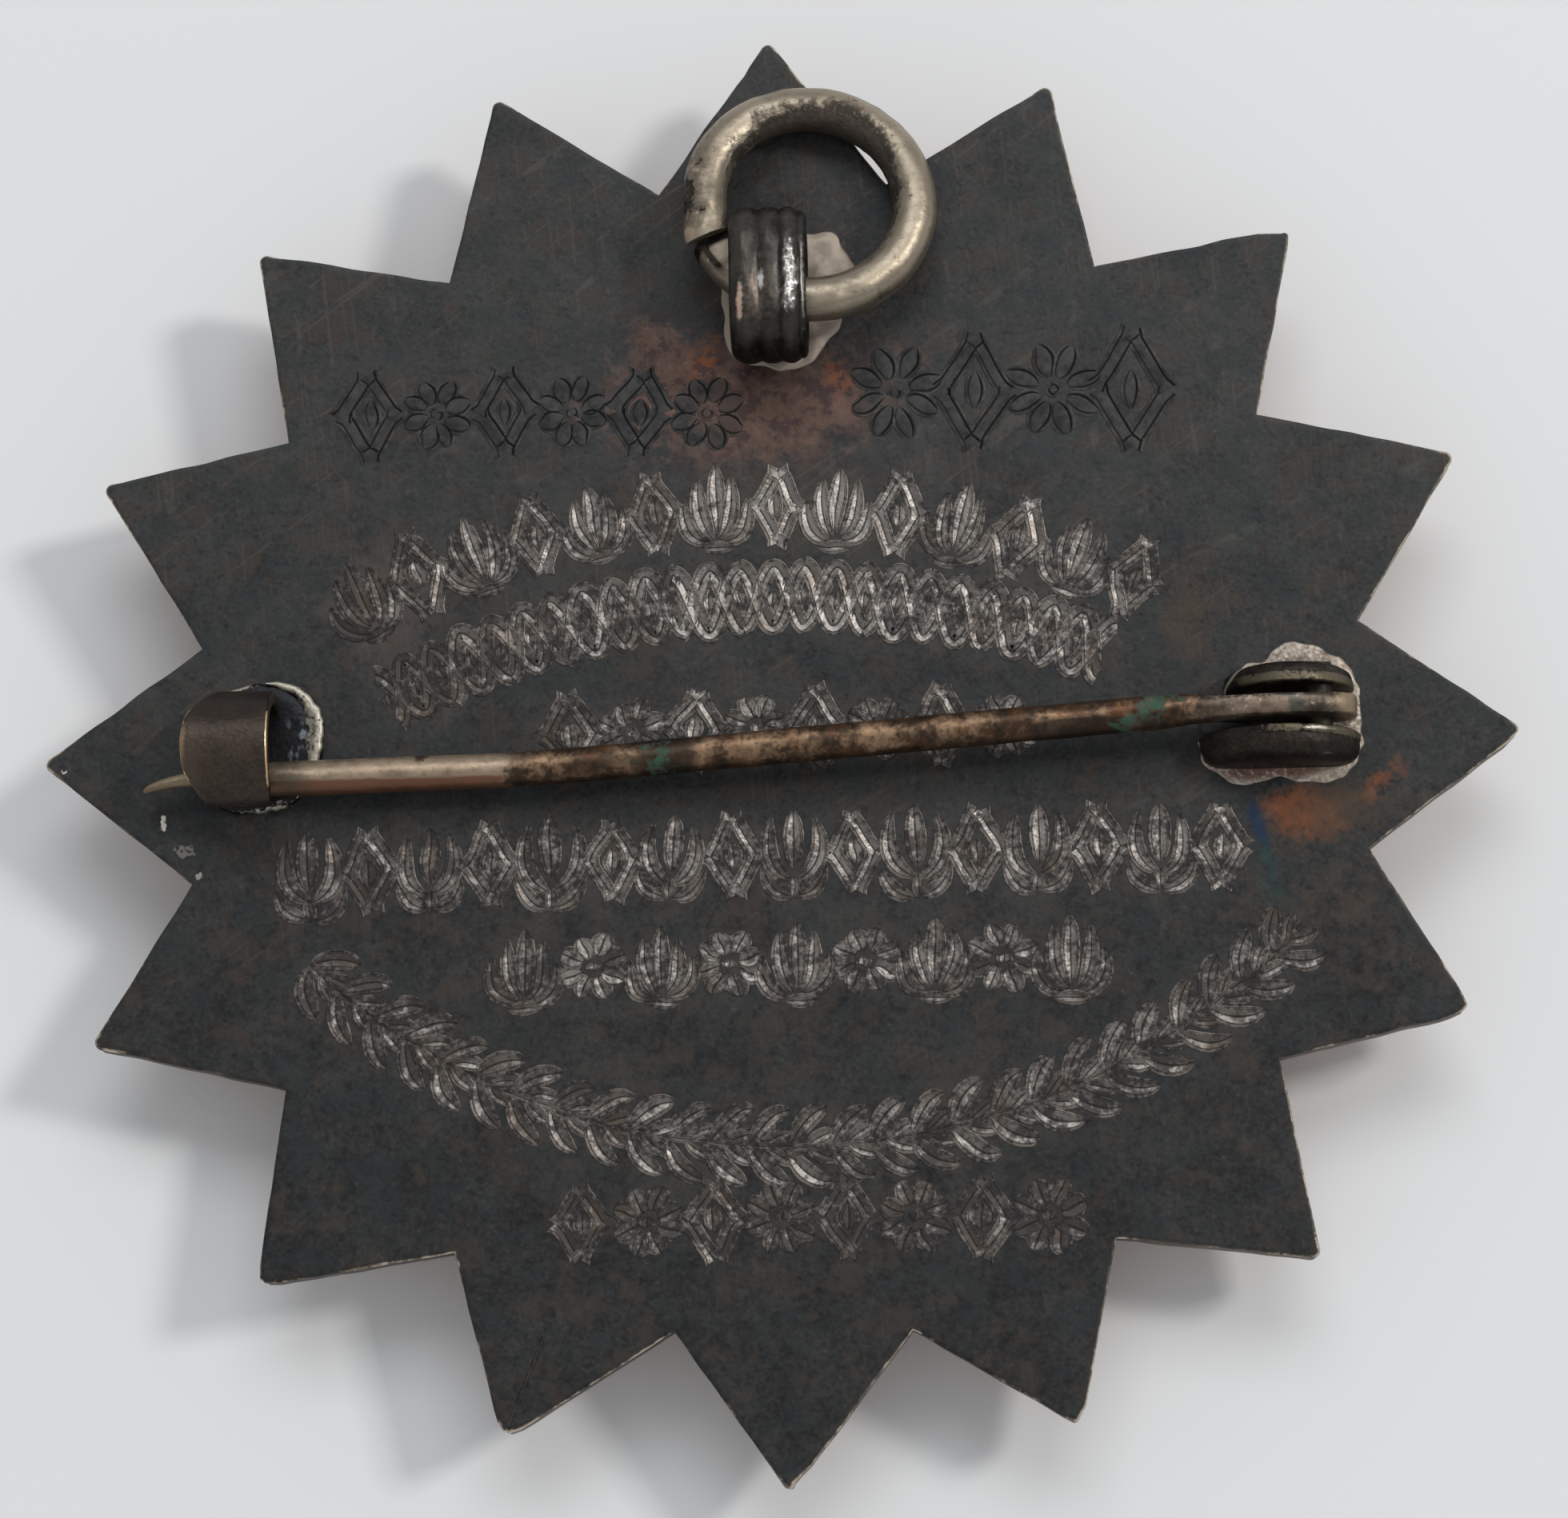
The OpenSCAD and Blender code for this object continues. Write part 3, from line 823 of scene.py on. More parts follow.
@dataclass(frozen=True)
class PinBronze:
    """The brooch pin: mottled brown wire, rubbed pinkish silver by the catch, with a little verdigris.

    Its top is lighter as painted highlight, and painted shade lies on its lower side near the hinge and beside the
    hook.
    """

    brown: Colour = (0.110, 0.066, 0.041)
    black: Colour = (0.030, 0.021, 0.015)
    tan: Colour = (0.345, 0.222, 0.135)
    amber: Colour = (0.190, 0.082, 0.036)
    pink: Colour = (0.385, 0.298, 0.215)
    copper: Colour = (0.190, 0.085, 0.050)
    green: Colour = (0.030, 0.105, 0.068)
    olive: Colour = (0.23, 0.185, 0.12)
    blade_dark: Colour = (0.055, 0.045, 0.032)
    blade_pale: Colour = (0.245, 0.180, 0.136)
    blade_bright: Colour = (0.50, 0.42, 0.37)
    blade_grey: Colour = (0.075, 0.090, 0.080)
    blade_heel: Colour = (0.31, 0.235, 0.155)
    hook_shade: Colour = (0.075, 0.066, 0.045)
    # Rise of the wire's line per mm towards the hinge, and its drift towards +Y
    rise: float = 0.0305
    drift: float = 0.0625

    def build(self) -> bpy.types.Material:
        """Makes the material; it reads the mark `blade`.

        `up` is the height over the wire's own sloping line, and `side` the offset across it.
        """
        s = Shade("pin_bronze")
        blade = s.mark("blade")
        patch, spot, grit = s.noise(1.3, 2, 0.6, 2), s.noise(0.34, 2, 0.65, 6), s.noise(0.12, 0, 0.5, 9)
        uneven = patch.swing(1.8) + spot.swing(1.3) + grit.swing(0.3)
        up = (s.z - BACK) - s.x * self.rise
        # Painted highlight: the top of the wire is browner, less amber and more tan
        top = up.rise(1.35, 1.95)
        s.colour = s.mix((uneven + 0.42 + top * 0.25).rise(0, 1.0), self.black, self.brown)
        s.lay((s.noise(0.8, 1, 0.5, 17) * 1.5 - top * 0.2 - 0.55).rise(0, 0.5) * 0.55, self.amber)
        s.lay((uneven + top * 0.5 - 0.30).rise(-0.12, 0.55) * 0.8, self.tan)
        fine = s.noise(0.22, 1, 0.6, 19)
        s.lay((fine + spot.swing(0.6)).rise(0.56, 0.74) * 0.55, self.black)
        # Soot by the middle, and soot with painted shade on the lower side near the hinge
        sooty = s.x.near(-3.4, 1.6) * 1.7 + s.x.near(-5.7, 2.0) * (top * 1.2 - 0.1)
        s.lay((sooty + uneven * 0.8 - 0.6).rise(0, 0.6) * 0.85, self.black)
        side = s.y - s.x * self.drift
        soot_and_shade = side.fall(-0.42, -0.12) * s.x.near(9.3, 2.6) * 1.6
        s.lay((soot_and_shade + uneven * 0.6 - 0.2).rise(0, 0.7) * 0.8, self.black)
        # The rubbed stretch by the catch, coppery below, with black specks; then the tip
        left = (s.x + patch.swing(1.2) + spot.swing(1.8)).fall(-8.8, -7.8)
        below = s.y.fall(-1.12, -0.84)
        s.lay(left * (0.85 + uneven * 0.5), self.pink)
        s.lay(left * (below * 1.2 + uneven * 0.5).rise(0.1, 0.8) * 0.92, self.copper)
        low, high = s.y.fall(-0.95, -0.45), s.y.rise(-0.75, -0.40)
        speck = s.x.near(-8.07, 0.75) * (low * 1.1 + 0.2) + s.x.near(-11.1, 0.5) * high
        s.lay((speck + uneven * 0.7 + fine.swing(1.6) - 0.5).rise(0, 0.7) * 0.85, self.black)
        # Painted shade on the wire beside and under the hook
        s.lay(s.x.near(-15.2, 1.1) * 0.7, self.hook_shade)
        s.lay(s.x.fall(-18.3, -17.6) * (0.7 + uneven * 0.5), self.olive)
        s.lay(blade, self.blade(s, uneven, spot, grit))
        # Verdigris in five places
        along = s.x + spot.swing(2.4)
        crust = along.near(-3.6, 1.15).most((along - side * 1.1).near(11.6, 1.5) * 1.2)
        for at, reach, share in ((-6.4, 0.9, 0.65), (6.3, 1.2, 0.55), (14.2, 0.8, 0.6)):
            crust = crust.most(along.near(at, reach) * share)
        crust = (crust * 1.25 + fine.swing(1.4) + patch.swing(1.6) - 0.85).rise(0.0, 0.7)
        s.lay(crust * (0.5 + top * 0.3), self.green)
        rough = 0.44 + crust * 0.3 + spot.swing(0.4)
        return s.metal(rough, 0.8 - crust * 0.5, patch * 0.02 + spot * 0.018)

    def blade(self, s: Shade, uneven: Value, spot: Value, grit: Value) -> bpy.types.NodeSocket:
        """Colour of the flattened end: mottled, with bright specks on its ridge, and paler at its heel.

        Args:
            s: The material.
            uneven: Cloudy noise round 0.
            spot: Noise of middle size.
            grit: Fine noise.

        Returns:
            The colour.
        """
        flat = s.mix((uneven + 0.45).rise(0, 0.9), self.blade_dark, self.blade_pale)
        ridge = s.y.near(0.93, 0.12) * 0.35
        flat = s.mix((grit * 0.8 + spot * 0.8 + ridge).rise(0.98, 1.20) * 0.7, flat, self.blade_bright)
        flat = s.mix((spot - s.x.near(15.9, 0.9) * 0.3).fall(0.16, 0.34) * 0.6, flat, self.blade_grey)
        flat = s.mix(s.x.near(13.1, 1.1) * 0.5, flat, self.blade_dark)
        return s.mix(s.x.rise(17.1, 17.5) * 0.9, flat, self.blade_heel)


@dataclass(frozen=True)
class RivetBronze:
    """The rivet's ends: as dark as the ears."""

    dark: Colour = (0.020, 0.016, 0.013)
    brown: Colour = (0.050, 0.038, 0.029)

    def build(self) -> bpy.types.Material:
        """Makes the material."""
        s = Shade("rivet_bronze")
        spot = s.noise(0.4, 2, 0.65, 6)
        s.colour = s.mix(spot.rise(0.4, 0.65), self.dark, self.brown)
        return s.metal(0.52 + spot.swing(0.3), 0.7)


@dataclass(frozen=True)
class Paper:
    """The pale sheet that the jewel lies on."""

    white: Colour = (0.79, 0.795, 0.80)

    def build(self) -> bpy.types.Material:
        """Makes the material."""
        s = Shade("paper")
        s.colour = self.white
        return s.metal(0.9, 0.0)


@dataclass(frozen=True)
class Row:
    """A row of ornament: the arc through three places, with a height across it."""

    left: Place
    middle: Place
    right: Place

    def _circle(self) -> tuple[Array, float]:
        """Middle and radius of the circle through the three places."""
        a, b, c = (np.array(p) for p in (self.left, self.middle, self.right))
        rows = 2 * np.array([b - a, c - a])
        middle = np.linalg.solve(rows, np.array([b @ b - a @ a, c @ c - a @ a]))
        return middle, float(np.linalg.norm(a - middle))

    @property
    def length(self) -> float:
        """Length along the arc, in mm."""
        _, radius = self._circle()
        half = np.linalg.norm(np.array(self.right) - self.left) / 2
        return 2 * radius * math.asin(min(1, half / radius))

    def place(self, u: Array, v: Array) -> Array:
        """Turns (u, v) into places on the back: u runs along the arc and v stands up off it.

        Args:
            u: Distance from the left end, in mm.
            v: Distance over the arc, in mm.

        Returns:
            (x, y) for each, in mm.
        """
        middle, radius = self._circle()
        up = 1 if middle[1] < self.middle[1] else -1
        start = math.atan2(self.left[1] - middle[1], self.left[0] - middle[0])
        turn = start - up * u / radius
        reach = radius + up * v
        return middle + reach[..., None] * ray(turn)


@dataclass
class Strokes:
    """Cuts of the same number of stations: centre lines and half-widths, in mm."""

    paths: Array
    halves: Array

    @classmethod
    def join(cls, parts: Sequence["Strokes"]) -> "Strokes":
        """Puts several lots into one."""
        return cls(np.concatenate([p.paths for p in parts]), np.concatenate([p.halves for p in parts]))


# Share of the way along a cut, at each of its stations
T = np.linspace(0, 1, 33)


def swell(half: float, power: float = 0.8) -> Array:
    """Half-width of a leaf cut: half times a power of the sine of pi t, and a hair more than nothing."""
    return 0.03 + (half - 0.03) * np.sin(np.pi * T) ** power


def flare(half: float, reach: float = 0.16, more: float = 0.85) -> Array:
    """Half-width of a bar cut: half, opening towards both ends in a triangle."""
    return half * (1 + more * np.clip(1 - np.minimum(T, 1 - T) / reach, 0, 1))


def bar(start: Place | Array, end: Place | Array) -> Array:
    """A straight centre line."""
    return np.array(start) + T[:, None] * (np.array(end) - np.array(start))


def bow(start: Place, lead: Place, end: Place) -> Array:
    """A curved centre line: the parabola that leaves the start towards the lead and comes from it to the end."""
    a, b, c = (np.array(p, float) for p in (start, lead, end))
    t = T[:, None]
    return (1 - t) ** 2 * a + 2 * t * (1 - t) * b + t**2 * c


class Motif(Enum):
    """The ornaments of the rows. Each is drawn about its own middle."""

    PALMETTE = "palmette"
    TULIP = "tulip"
    LOZENGE = "lozenge"
    TWIST = "twist"
    SPRIG = "sprig"
    ROSETTE = "rosette"

    def draw(self, wide: float, high: float) -> Strokes:
        """Centre lines and half-widths of one ornament.

        Args:
            wide: Its width, in mm.
            high: Its height, in mm.

        Returns:
            The cuts, about (0, 0).
        """
        x, y = wide / 2, high / 2
        lines: list[Array]
        if self is Motif.PALMETTE:
            lines = [bar((0, -0.62 * y), (0, y)), bar((-0.5 * x, -0.95 * y), (0.5 * x, -0.95 * y))]
            for side in (-x, x):
                lines.append(bow((0.14 * side, -0.72 * y), (0.62 * side, -0.25 * y), (0.50 * side, 0.72 * y)))
                lines.append(bow((0.2 * side, -0.82 * y), (1.05 * side, -0.75 * y), (0.95 * side, 0.22 * y)))
            halves = [swell(0.23), swell(0.13), swell(0.19), swell(0.19), swell(0.19), swell(0.19)]
        elif self is Motif.TULIP:
            lines = [bar((0, -0.35 * y), (0, 0.95 * y)), bar((0, -y), (0, -0.5 * y))]
            for side in (-x, x):
                lines.append(bow((0.04 * side, -0.60 * y), (1.05 * side, -0.35 * y), (0.62 * side, 0.78 * y)))
                lines.append(bow((0.05 * side, -0.95 * y), (0.75 * side, -0.95 * y), (0.98 * side, -0.30 * y)))
            halves = [swell(0.24), swell(0.13, 1), swell(0.20), swell(0.17), swell(0.20), swell(0.17)]
        elif self is Motif.LOZENGE:
            corners = [(0, y), (x, 0), (0, -y), (-x, 0)]
            lines = [bar(corners[i], corners[(i + 1) % 4]) for i in range(4)]
            lines.append(bar((0, -0.34 * y), (0, 0.34 * y)))
            halves = [flare(0.17, 0.14, 0.6)] * 4 + [swell(0.2, 1)]
        elif self is Motif.TWIST:
            wave = np.stack([(2 * T - 1) * x, 0.78 * y * np.cos(2 * np.pi * T)], -1)
            lines = [wave, wave * (1, -1), bar((0, -0.24), (0, 0.24)), bar((-x, -0.24), (-x, 0.24))]
            halves = [np.full_like(T, 0.21)] * 2 + [swell(0.17, 1)] * 2
        elif self is Motif.SPRIG:
            lines = [
                bar((-x, 0), (x, 0)),
                bow((-x, 0), (-0.3 * x, 0.9 * y), (0.8 * x, y)),
                bow((-x, 0), (-0.3 * x, -0.9 * y), (0.8 * x, -y)),
                bow((-0.3 * x, 0), (0.3 * x, 0.35 * y), (1.15 * x, 0.42 * y)),
                bow((-0.3 * x, 0), (0.3 * x, -0.35 * y), (1.15 * x, -0.42 * y)),
            ]
            halves = [np.full_like(T, 0.08), swell(0.23), swell(0.23), swell(0.15), swell(0.15)]
        else:
            turns = np.arange(8) * np.pi / 4 + np.pi / 8
            ends = np.column_stack([x * np.cos(turns), y * np.sin(turns)])
            lines = [bar(0.30 * end, end) for end in ends]
            lines.append(bar((0, -0.14), (0, 0.14)))
            halves = [swell(0.25, 0.7)] * 8 + [swell(0.15, 1)]
        return Strokes(np.array(lines), np.array(halves))


@dataclass(frozen=True)
class Hand:
    """How far a hand strays from the drawing, as standard deviations: in radians, as shares and in mm."""

    turn: float = 0.03
    size: float = 0.03
    shift: float = 0.035
    bend: float = 0.02
    width: float = 0.08


@dataclass(frozen=True)
class Border:
    """Ornament repeated along a row, in turn from a short list."""

    name: str
    row: Row
    motifs: tuple[tuple[Motif, float, float], ...]
    pitch: float
    tone: float
    seed: int
    hand: Hand = Hand()

    def cuts(self) -> Strokes:
        """All cuts of the row on the back, each a little off its place, as a hand leaves them."""
        rng = np.random.default_rng(self.seed)
        number = max(1, round(self.row.length / self.pitch))
        step = self.row.length / number
        found = []
        for kind, (motif, wide, high) in enumerate(self.motifs):
            drawn = motif.draw(wide, high)
            at = (np.arange(kind, number, len(self.motifs)) + 0.5) * step
            cells, lines = len(at), len(drawn.paths)
            turn = rng.normal(0, self.hand.turn, (cells, 1, 1))
            size = 1 + rng.normal(0, self.hand.size, (cells, 1, 1, 1))
            shift = rng.normal(0, self.hand.shift, (cells, lines, 1, 2))
            shake = rng.normal(0, 1, (cells, lines, 2, 2)) * self.hand.bend
            wave = np.stack([np.sin(np.pi * T), np.sin(2 * np.pi * T)], -1)
            path = drawn.paths[None] * size + shift + np.einsum("mk,clkd->clmd", wave, shake)
            u = path[..., 0] * np.cos(turn) - path[..., 1] * np.sin(turn)
            v = path[..., 0] * np.sin(turn) + path[..., 1] * np.cos(turn)
            spot = self.row.place(at[:, None, None] + u, v)
            half = drawn.halves[None] * (1 + rng.normal(0, self.hand.width, (cells, lines, 1)))
            found.append(Strokes(spot.reshape(-1, len(T), 2), half.reshape(-1, len(T))))
        return Strokes.join(found)


@dataclass(frozen=True)
class Groove:
    """Section across a cut, which is the same on both sides of its middle line."""

    # One side, from its outer foot to the middle: share of the half-width, fixed part beyond it in mm, height over
    # the back in mm, and what the mark `across` says there
    side: Table = (
        (1.0, 0.13, -0.012, 1.05),
        (1.0, 0.105, 0.012, 0.95),
        (1.0, 0.075, 0.018, 0.88),
        (1.0, 0.03, 0.006, 0.76),
        (0.94, 0.0, 0.021, 0.70),
        (0.0, 0.0, 0.002, 0.0),
    )
    # Heights of the outer foot, of the sunk underside and of the whole section over the back
    under: float = -0.03
    foot: float = -0.08
    over: float = 0.004
    # Half-width from which a cut has its full lips, and the least share of them
    full: float = 0.14
    least: float = 0.25

    def carve(self, name: str, cuts: Strokes, tones: Array, finish: bpy.types.Material) -> bpy.types.Object:
        """Carries the section along each cut, on the dented back: a ribbon whose underside is sunk in the star.

        Args:
            name: The object's name.
            cuts: Centre lines and half-widths.
            tones: How clean each cut is, one number each.
            finish: Its material.

        Returns:
            The object.
        """
        half = np.array(self.side)
        shares, beyond, heights, marks = np.concatenate([half, half[-2::-1] * (-1, -1, 1, -1)]).T
        run = np.gradient(cuts.paths, axis=1)
        run /= np.linalg.norm(run, axis=-1, keepdims=True) + 1e-9
        side = np.stack([-run[..., 1], run[..., 0]], -1)
        small = np.clip(cuts.halves / self.full, self.least, 1)[..., None]
        offset = shares * cuts.halves[..., None] + beyond * small
        top = cuts.paths[:, :, None] + side[:, :, None] * offset[..., None]
        rise = heights * small + self.over
        height = BACK + star_dents(top[..., 0], top[..., 1]) + np.where(rise > 0, rise, self.under)
        grid = np.concatenate([top, height[..., None]], -1)
        foot = grid[:, :, [-1, 0]].copy()
        foot[..., 2] = BACK + self.foot
        grid = np.concatenate([grid, foot], 2)
        across = np.broadcast_to([*marks, -1.1, 1.1], grid.shape[:3])
        skin = Skin(("across", "tone"))
        skin.add(grid, across=across, tone=tones[:, None, None])
        return skin.make(name, finish, 60)


@dataclass
class Engraving:
    """All the ornament on the back: cut rows, and one stamped row in two groups."""

    groove: Groove = Groove()
    borders: tuple[Border, ...] = (
        Border(
            "cut_arch_upper", Row((-13.9, 4.65), (-1.0, 7.75), (12.1, 4.75)),
            ((Motif.PALMETTE, 2.1, 2.6), (Motif.LOZENGE, 1.3, 2.5)),
            pitch=1.95, tone=0.40, seed=11,
        ),
        Border(
            "cut_arch_lower", Row((-12.3, 1.85), (-0.8, 4.8), (10.3, 2.8)),
            ((Motif.TWIST, 2.0, 2.4),),
            pitch=2.0, tone=0.34, seed=12,
        ),
        Border(
            "cut_middle", Row((-7.5, 0.55), (0.2, 0.62), (8.0, 0.5)),
            ((Motif.LOZENGE, 1.5, 2.4), (Motif.ROSETTE, 2.1, 2.1)),
            pitch=1.95, tone=0.3, seed=13,
        ),
        Border(
            "cut_long", Row((-15.7, -3.75), (-0.6, -3.35), (14.6, -3.45)),
            ((Motif.TULIP, 2.1, 2.8), (Motif.LOZENGE, 1.4, 2.5)),
            pitch=1.95, tone=0.36, seed=14,
        ),
        Border(
            "cut_short", Row((-9.1, -6.85), (0.5, -6.75), (10.0, -6.8)),
            ((Motif.PALMETTE, 2.1, 2.5), (Motif.ROSETTE, 2.2, 2.2)),
            pitch=2.2, tone=0.34, seed=15,
        ),
        Border(
            "cut_bowl", Row((-14.7, -6.6), (0.2, -12.5), (16.1, -6.0)),
            ((Motif.SPRIG, 1.4, 2.2),),
            pitch=1.28, tone=0.32, seed=16,
        ),
        Border(
            "cut_foot", Row((-7.4, -14.75), (0.8, -14.7), (9.1, -14.8)),
            ((Motif.LOZENGE, 1.5, 2.4), (Motif.ROSETTE, 2.3, 2.3)),
            pitch=2.1, tone=0.22, seed=17,
        ),
    )
    punched: tuple[Border, ...] = (
        Border(
            "punched_left", Row((-13.9, 11.0), (-7.4, 11.0001), (-1.0, 10.75)),
            ((Motif.LOZENGE, 1.6, 2.6), (Motif.ROSETTE, 2.3, 2.3)),
            pitch=2.15, tone=0.5, seed=21,
        ),
        Border(
            "punched_right", Row((2.6, 11.35), (7.5, 11.3), (12.6, 11.2)),
            ((Motif.ROSETTE, 3.2, 3.2), (Motif.LOZENGE, 2.2, 3.6)),
            pitch=2.5, tone=0.5, seed=22,
        ),
    )
    # Where cuts are cleaner or duller than their row: by how much, middle and reach
    polish: tuple[tuple[float, Place, float], ...] = (
        (0.75, (1.2, 7.7), 2.3), (0.2, (0.5, 6.0), 4.0), (-0.35, (-12.8, 4.6), 3.2), (-0.25, (-14.5, -6.5), 4.0),
        (0.05, (0.0, -4.0), 6.0),
    )
    # Stamped marks: how much wider than cut ones, and their tone
    punch_wide: float = 1.15
    punch_tone: float = 0.2
    places: list[Array] = field(default_factory=list)

    def tones(self, border: Border, cuts: Strokes) -> Array:
        """How clean each cut is: brightest under the bail, dim at both ends of the upper arch and low down."""
        rng = np.random.default_rng(border.seed + 50)
        x, y = cuts.paths.mean(1).T
        tone = border.tone + rng.normal(0, 0.09, len(x))
        for more, at, reach in self.polish:
            tone += more * bump_at(x, y, at, reach)
        tone -= 0.12 * ease(-y, 12, 15)
        return np.clip(tone, 0.02, 1)

    def build(self) -> list[bpy.types.Object]:
        """Makes one object a row and keeps the places of the cuts for the star's dark halo."""
        made = []
        cut, punched = CutSilver().build(), PunchedSilver().build()
        for border in self.borders:
            cuts = border.cuts()
            made.append(self.groove.carve(border.name, cuts, self.tones(border, cuts), cut))
            self.places.append(cuts.paths.reshape(-1, 2))
        for border in self.punched:
            cuts = border.cuts()
            cuts.halves = cuts.halves * self.punch_wide
            made.append(self.groove.carve(border.name, cuts, np.full(len(cuts.paths), self.punch_tone), punched))
        return made


@dataclass
class Star:
    """The star itself: a hand-finished, die-cut plate whose hidden front has a plain raised middle."""

    # Reach of the points and of the notches, radius of the points' round ends and half of their turn, in degrees
    reach: float = 23.0
    notch: float = 18.5
    tip_r: float = 0.25
    tip_turn: float = 53.4
    # Radius and height of the raised middle
    boss_r: float = 11.0
    boss_h: float = 2.6
    # The worn bevel round the back: its usual width, the least and the most of it
    bevel: float = 0.062
    bevel_range: Place = (0.04, 0.12)
    # Direction in which the worn bevel is brightest
    bright_side: Place = (0.93, -0.37)
    # Grid for the dark halo round the cuts: half its size, its step, and the blur
    halo_half: float = 24.0
    halo_step: float = 0.2
    halo_blur: float = 0.55
    # The raised middle below its foot: distance in from its edge, height, wear and share of wall
    boss: Table = (
        (0.0, 2.54, 0.1, 0.5), (0.0, 1.7, 0.1, 0.5), (0.0, 0.9, 0.1, 0.5), (0.0, 0.35, 0.1, 0.5),
        (0.1, 0.16, 0.4, 0.5), (0.22, 0.05, 0.5, 0.4), (0.32, 0.0, 0.3, 0.3),
        (2.2, 0.0, 0.0, 0.2), (4.95, 0.0, 0.0, 0.2), (7.7, 0.0, 0.0, 0.2), (10.12, 0.0, 0.0, 0.2),
    )
    # Turn and added reach of each point, then of the notch after it, clockwise from the top point
    points: Table = (
        (-0.1, -0.05, -0.35, 0.1),
        (-0.35, 0.05, -0.15, -0.05),
        (-0.25, 0.15, 0.35, -0.05),
        (0, 0.05, 0, 0.05),
        (0, 0.05, 0.1, 0.1),
        (0.15, -0.15, 0.25, -0.2),
        (0.05, -0.1, -0.8, 0),
        (0.15, -0.15, 0.5, 0.1),
        (-0.1, -0.05, 0.2, -0.05),
        (0, -0.05, 0.3, 0.15),
        (0.15, 0.1, 0.1, 0.15),
        (0, 0.2, 0.7, 0.35),
        (0, 0.05, 0, 0),
        (-0.2, 0, 0.2, 0),
        (-0.1, 0.05, 0.05, -0.05),
        (-0.25, 0, -0.15, -0.1),
    )
    # Worn or knocked places of the outline: x, y, reach and depth inwards
    knocks: Table = (
        (16.2, 16.3, 0.35, 0.16),
        (21.4, -8.9, 0.4, 0.22),
        (20.9, -9.2, 0.3, 0.12),
        (0.3, -22.8, 0.3, 0.15),
        (-8.8, -21.2, 0.3, 0.18),
        (9.0, -21.0, 0.3, 0.14),
        (-16.3, -16.4, 0.3, 0.14),
        (23.0, -0.2, 0.25, 0.08),
        (16.5, 8.4, 0.25, 0.06),
        (-0.9, 22.0, 0.3, 0.05),
    )
    # Each stain's tint, place, reach on both axes, strength, and turn in degrees
    stains: tuple[Stain, ...] = (
        Stain(Tint.RED, (-1.2, 11.2), (4.8, 2.1), 1.5),
        Stain(Tint.RUST, (-2.1, 12.6), (0.7, 1.3), 0.85, -15),
        Stain(Tint.RUST, (2.1, 11.9), (0.8, 1.1), 0.85, 10),
        Stain(Tint.RED, (1.9, 11.4), (1.5, 1.7), 1.2),
        Stain(Tint.RED, (-3.6, 13.0), (1.5, 1.2), 1.2, 20),
        Stain(Tint.RED, (-4.6, 11.5), (1.7, 1.3), 0.75),
        Stain(Tint.RED, (2.2, 15.9), (0.5, 0.5), 0.9),
        Stain(Tint.RED, (4.3, 12.5), (1.5, 0.8), 0.6, -30),
        Stain(Tint.RUST, (16.35, -2.45), (1.5, 1.0), 1.15, -20),
        Stain(Tint.RUST, (18.6, -1.6), (1.7, 0.6), 0.8, 46),
        Stain(Tint.BROWN, (17.2, -2.4), (2.6, 1.4), 1.0, 15),
        Stain(Tint.BLUE, (14.8, -2.75), (0.27, 1.25), 1.25, 16),
        Stain(Tint.TEAL, (15.05, -3.8), (0.3, 0.8), 1.15, 16),
        Stain(Tint.TEAL, (15.3, -4.8), (0.5, 0.9), 1.0, 10),
        Stain(Tint.BROWN, (17.6, -6.0), (3.2, 2.2), 0.75, -30),
        Stain(Tint.BROWN, (12.9, 4.4), (1.1, 2.9), 0.95, -14),
        Stain(Tint.TEAL, (14.6, 7.2), (2.0, 2.6), 0.6),
        Stain(Tint.HAZE, (-12.4, 4.9), (2.3, 2.6), 1.15),
        Stain(Tint.BROWN, (-17.6, 5.6), (2.4, 1.2), 0.6, 25),
        Stain(Tint.BROWN, (-14.0, -9.0), (3.0, 1.4), 0.5, -20),
        Stain(Tint.BROWN, (12.5, -11.5), (4.5, 1.5), 0.55, 35),
        Stain(Tint.BROWN, (6.5, -16.0), (4.0, 1.2), 0.5, 25),
        Stain(Tint.BROWN, (-8.5, 16.5), (1.8, 4.0), 0.45, 10),
        Stain(Tint.SOOT, (-15.5, -3.0), (2.8, 1.3), 0.75),
        Stain(Tint.SOOT, (0.0, -1.6), (14.0, 0.9), 0.6, 2),
        Stain(Tint.SOOT, (-0.2, 16.6), (2.6, 3.2), 0.95),
        Stain(Tint.SOOT, (0.0, 11.9), (1.4, 0.6), 0.8),
        Stain(Tint.TEAL, (-5.0, 13.5), (4.5, 1.2), 0.45, 10),
        Stain(Tint.TEAL, (9.0, 16.5), (2.0, 3.5), 0.5, -20),
    )

    def outline(self) -> Array:
        """Outline of the star, clockwise: for each point a straight flank, a round end and a straight flank."""
        table = np.array(self.points)
        i = np.arange(len(table))
        step = 360 / len(table)
        tip = np.radians(90 - step * i + table[:, 0])
        dip = np.radians(90 - step * (i + 0.5) + table[:, 2])
        middle = (self.reach + table[:, 1] - self.tip_r)[:, None] * ray(tip)
        after = (self.notch + table[:, 3])[:, None] * ray(dip)
        before = np.roll(after, 1, 0)
        bend = tip[:, None] + np.radians(np.linspace(self.tip_turn, -self.tip_turn, 11))
        arc = middle[:, None] + self.tip_r * ray(bend)
        up = np.linspace(0, 1, 17)[:-1, None]
        down = np.linspace(0, 1, 18)[1:-1, None]
        flank_up = before[:, None] * (1 - up) + arc[:, :1] * up
        flank_down = arc[:, -1:] * (1 - down) + after[:, None] * down
        line = np.concatenate([flank_up, arc, flank_down], 1).reshape(-1, 2)
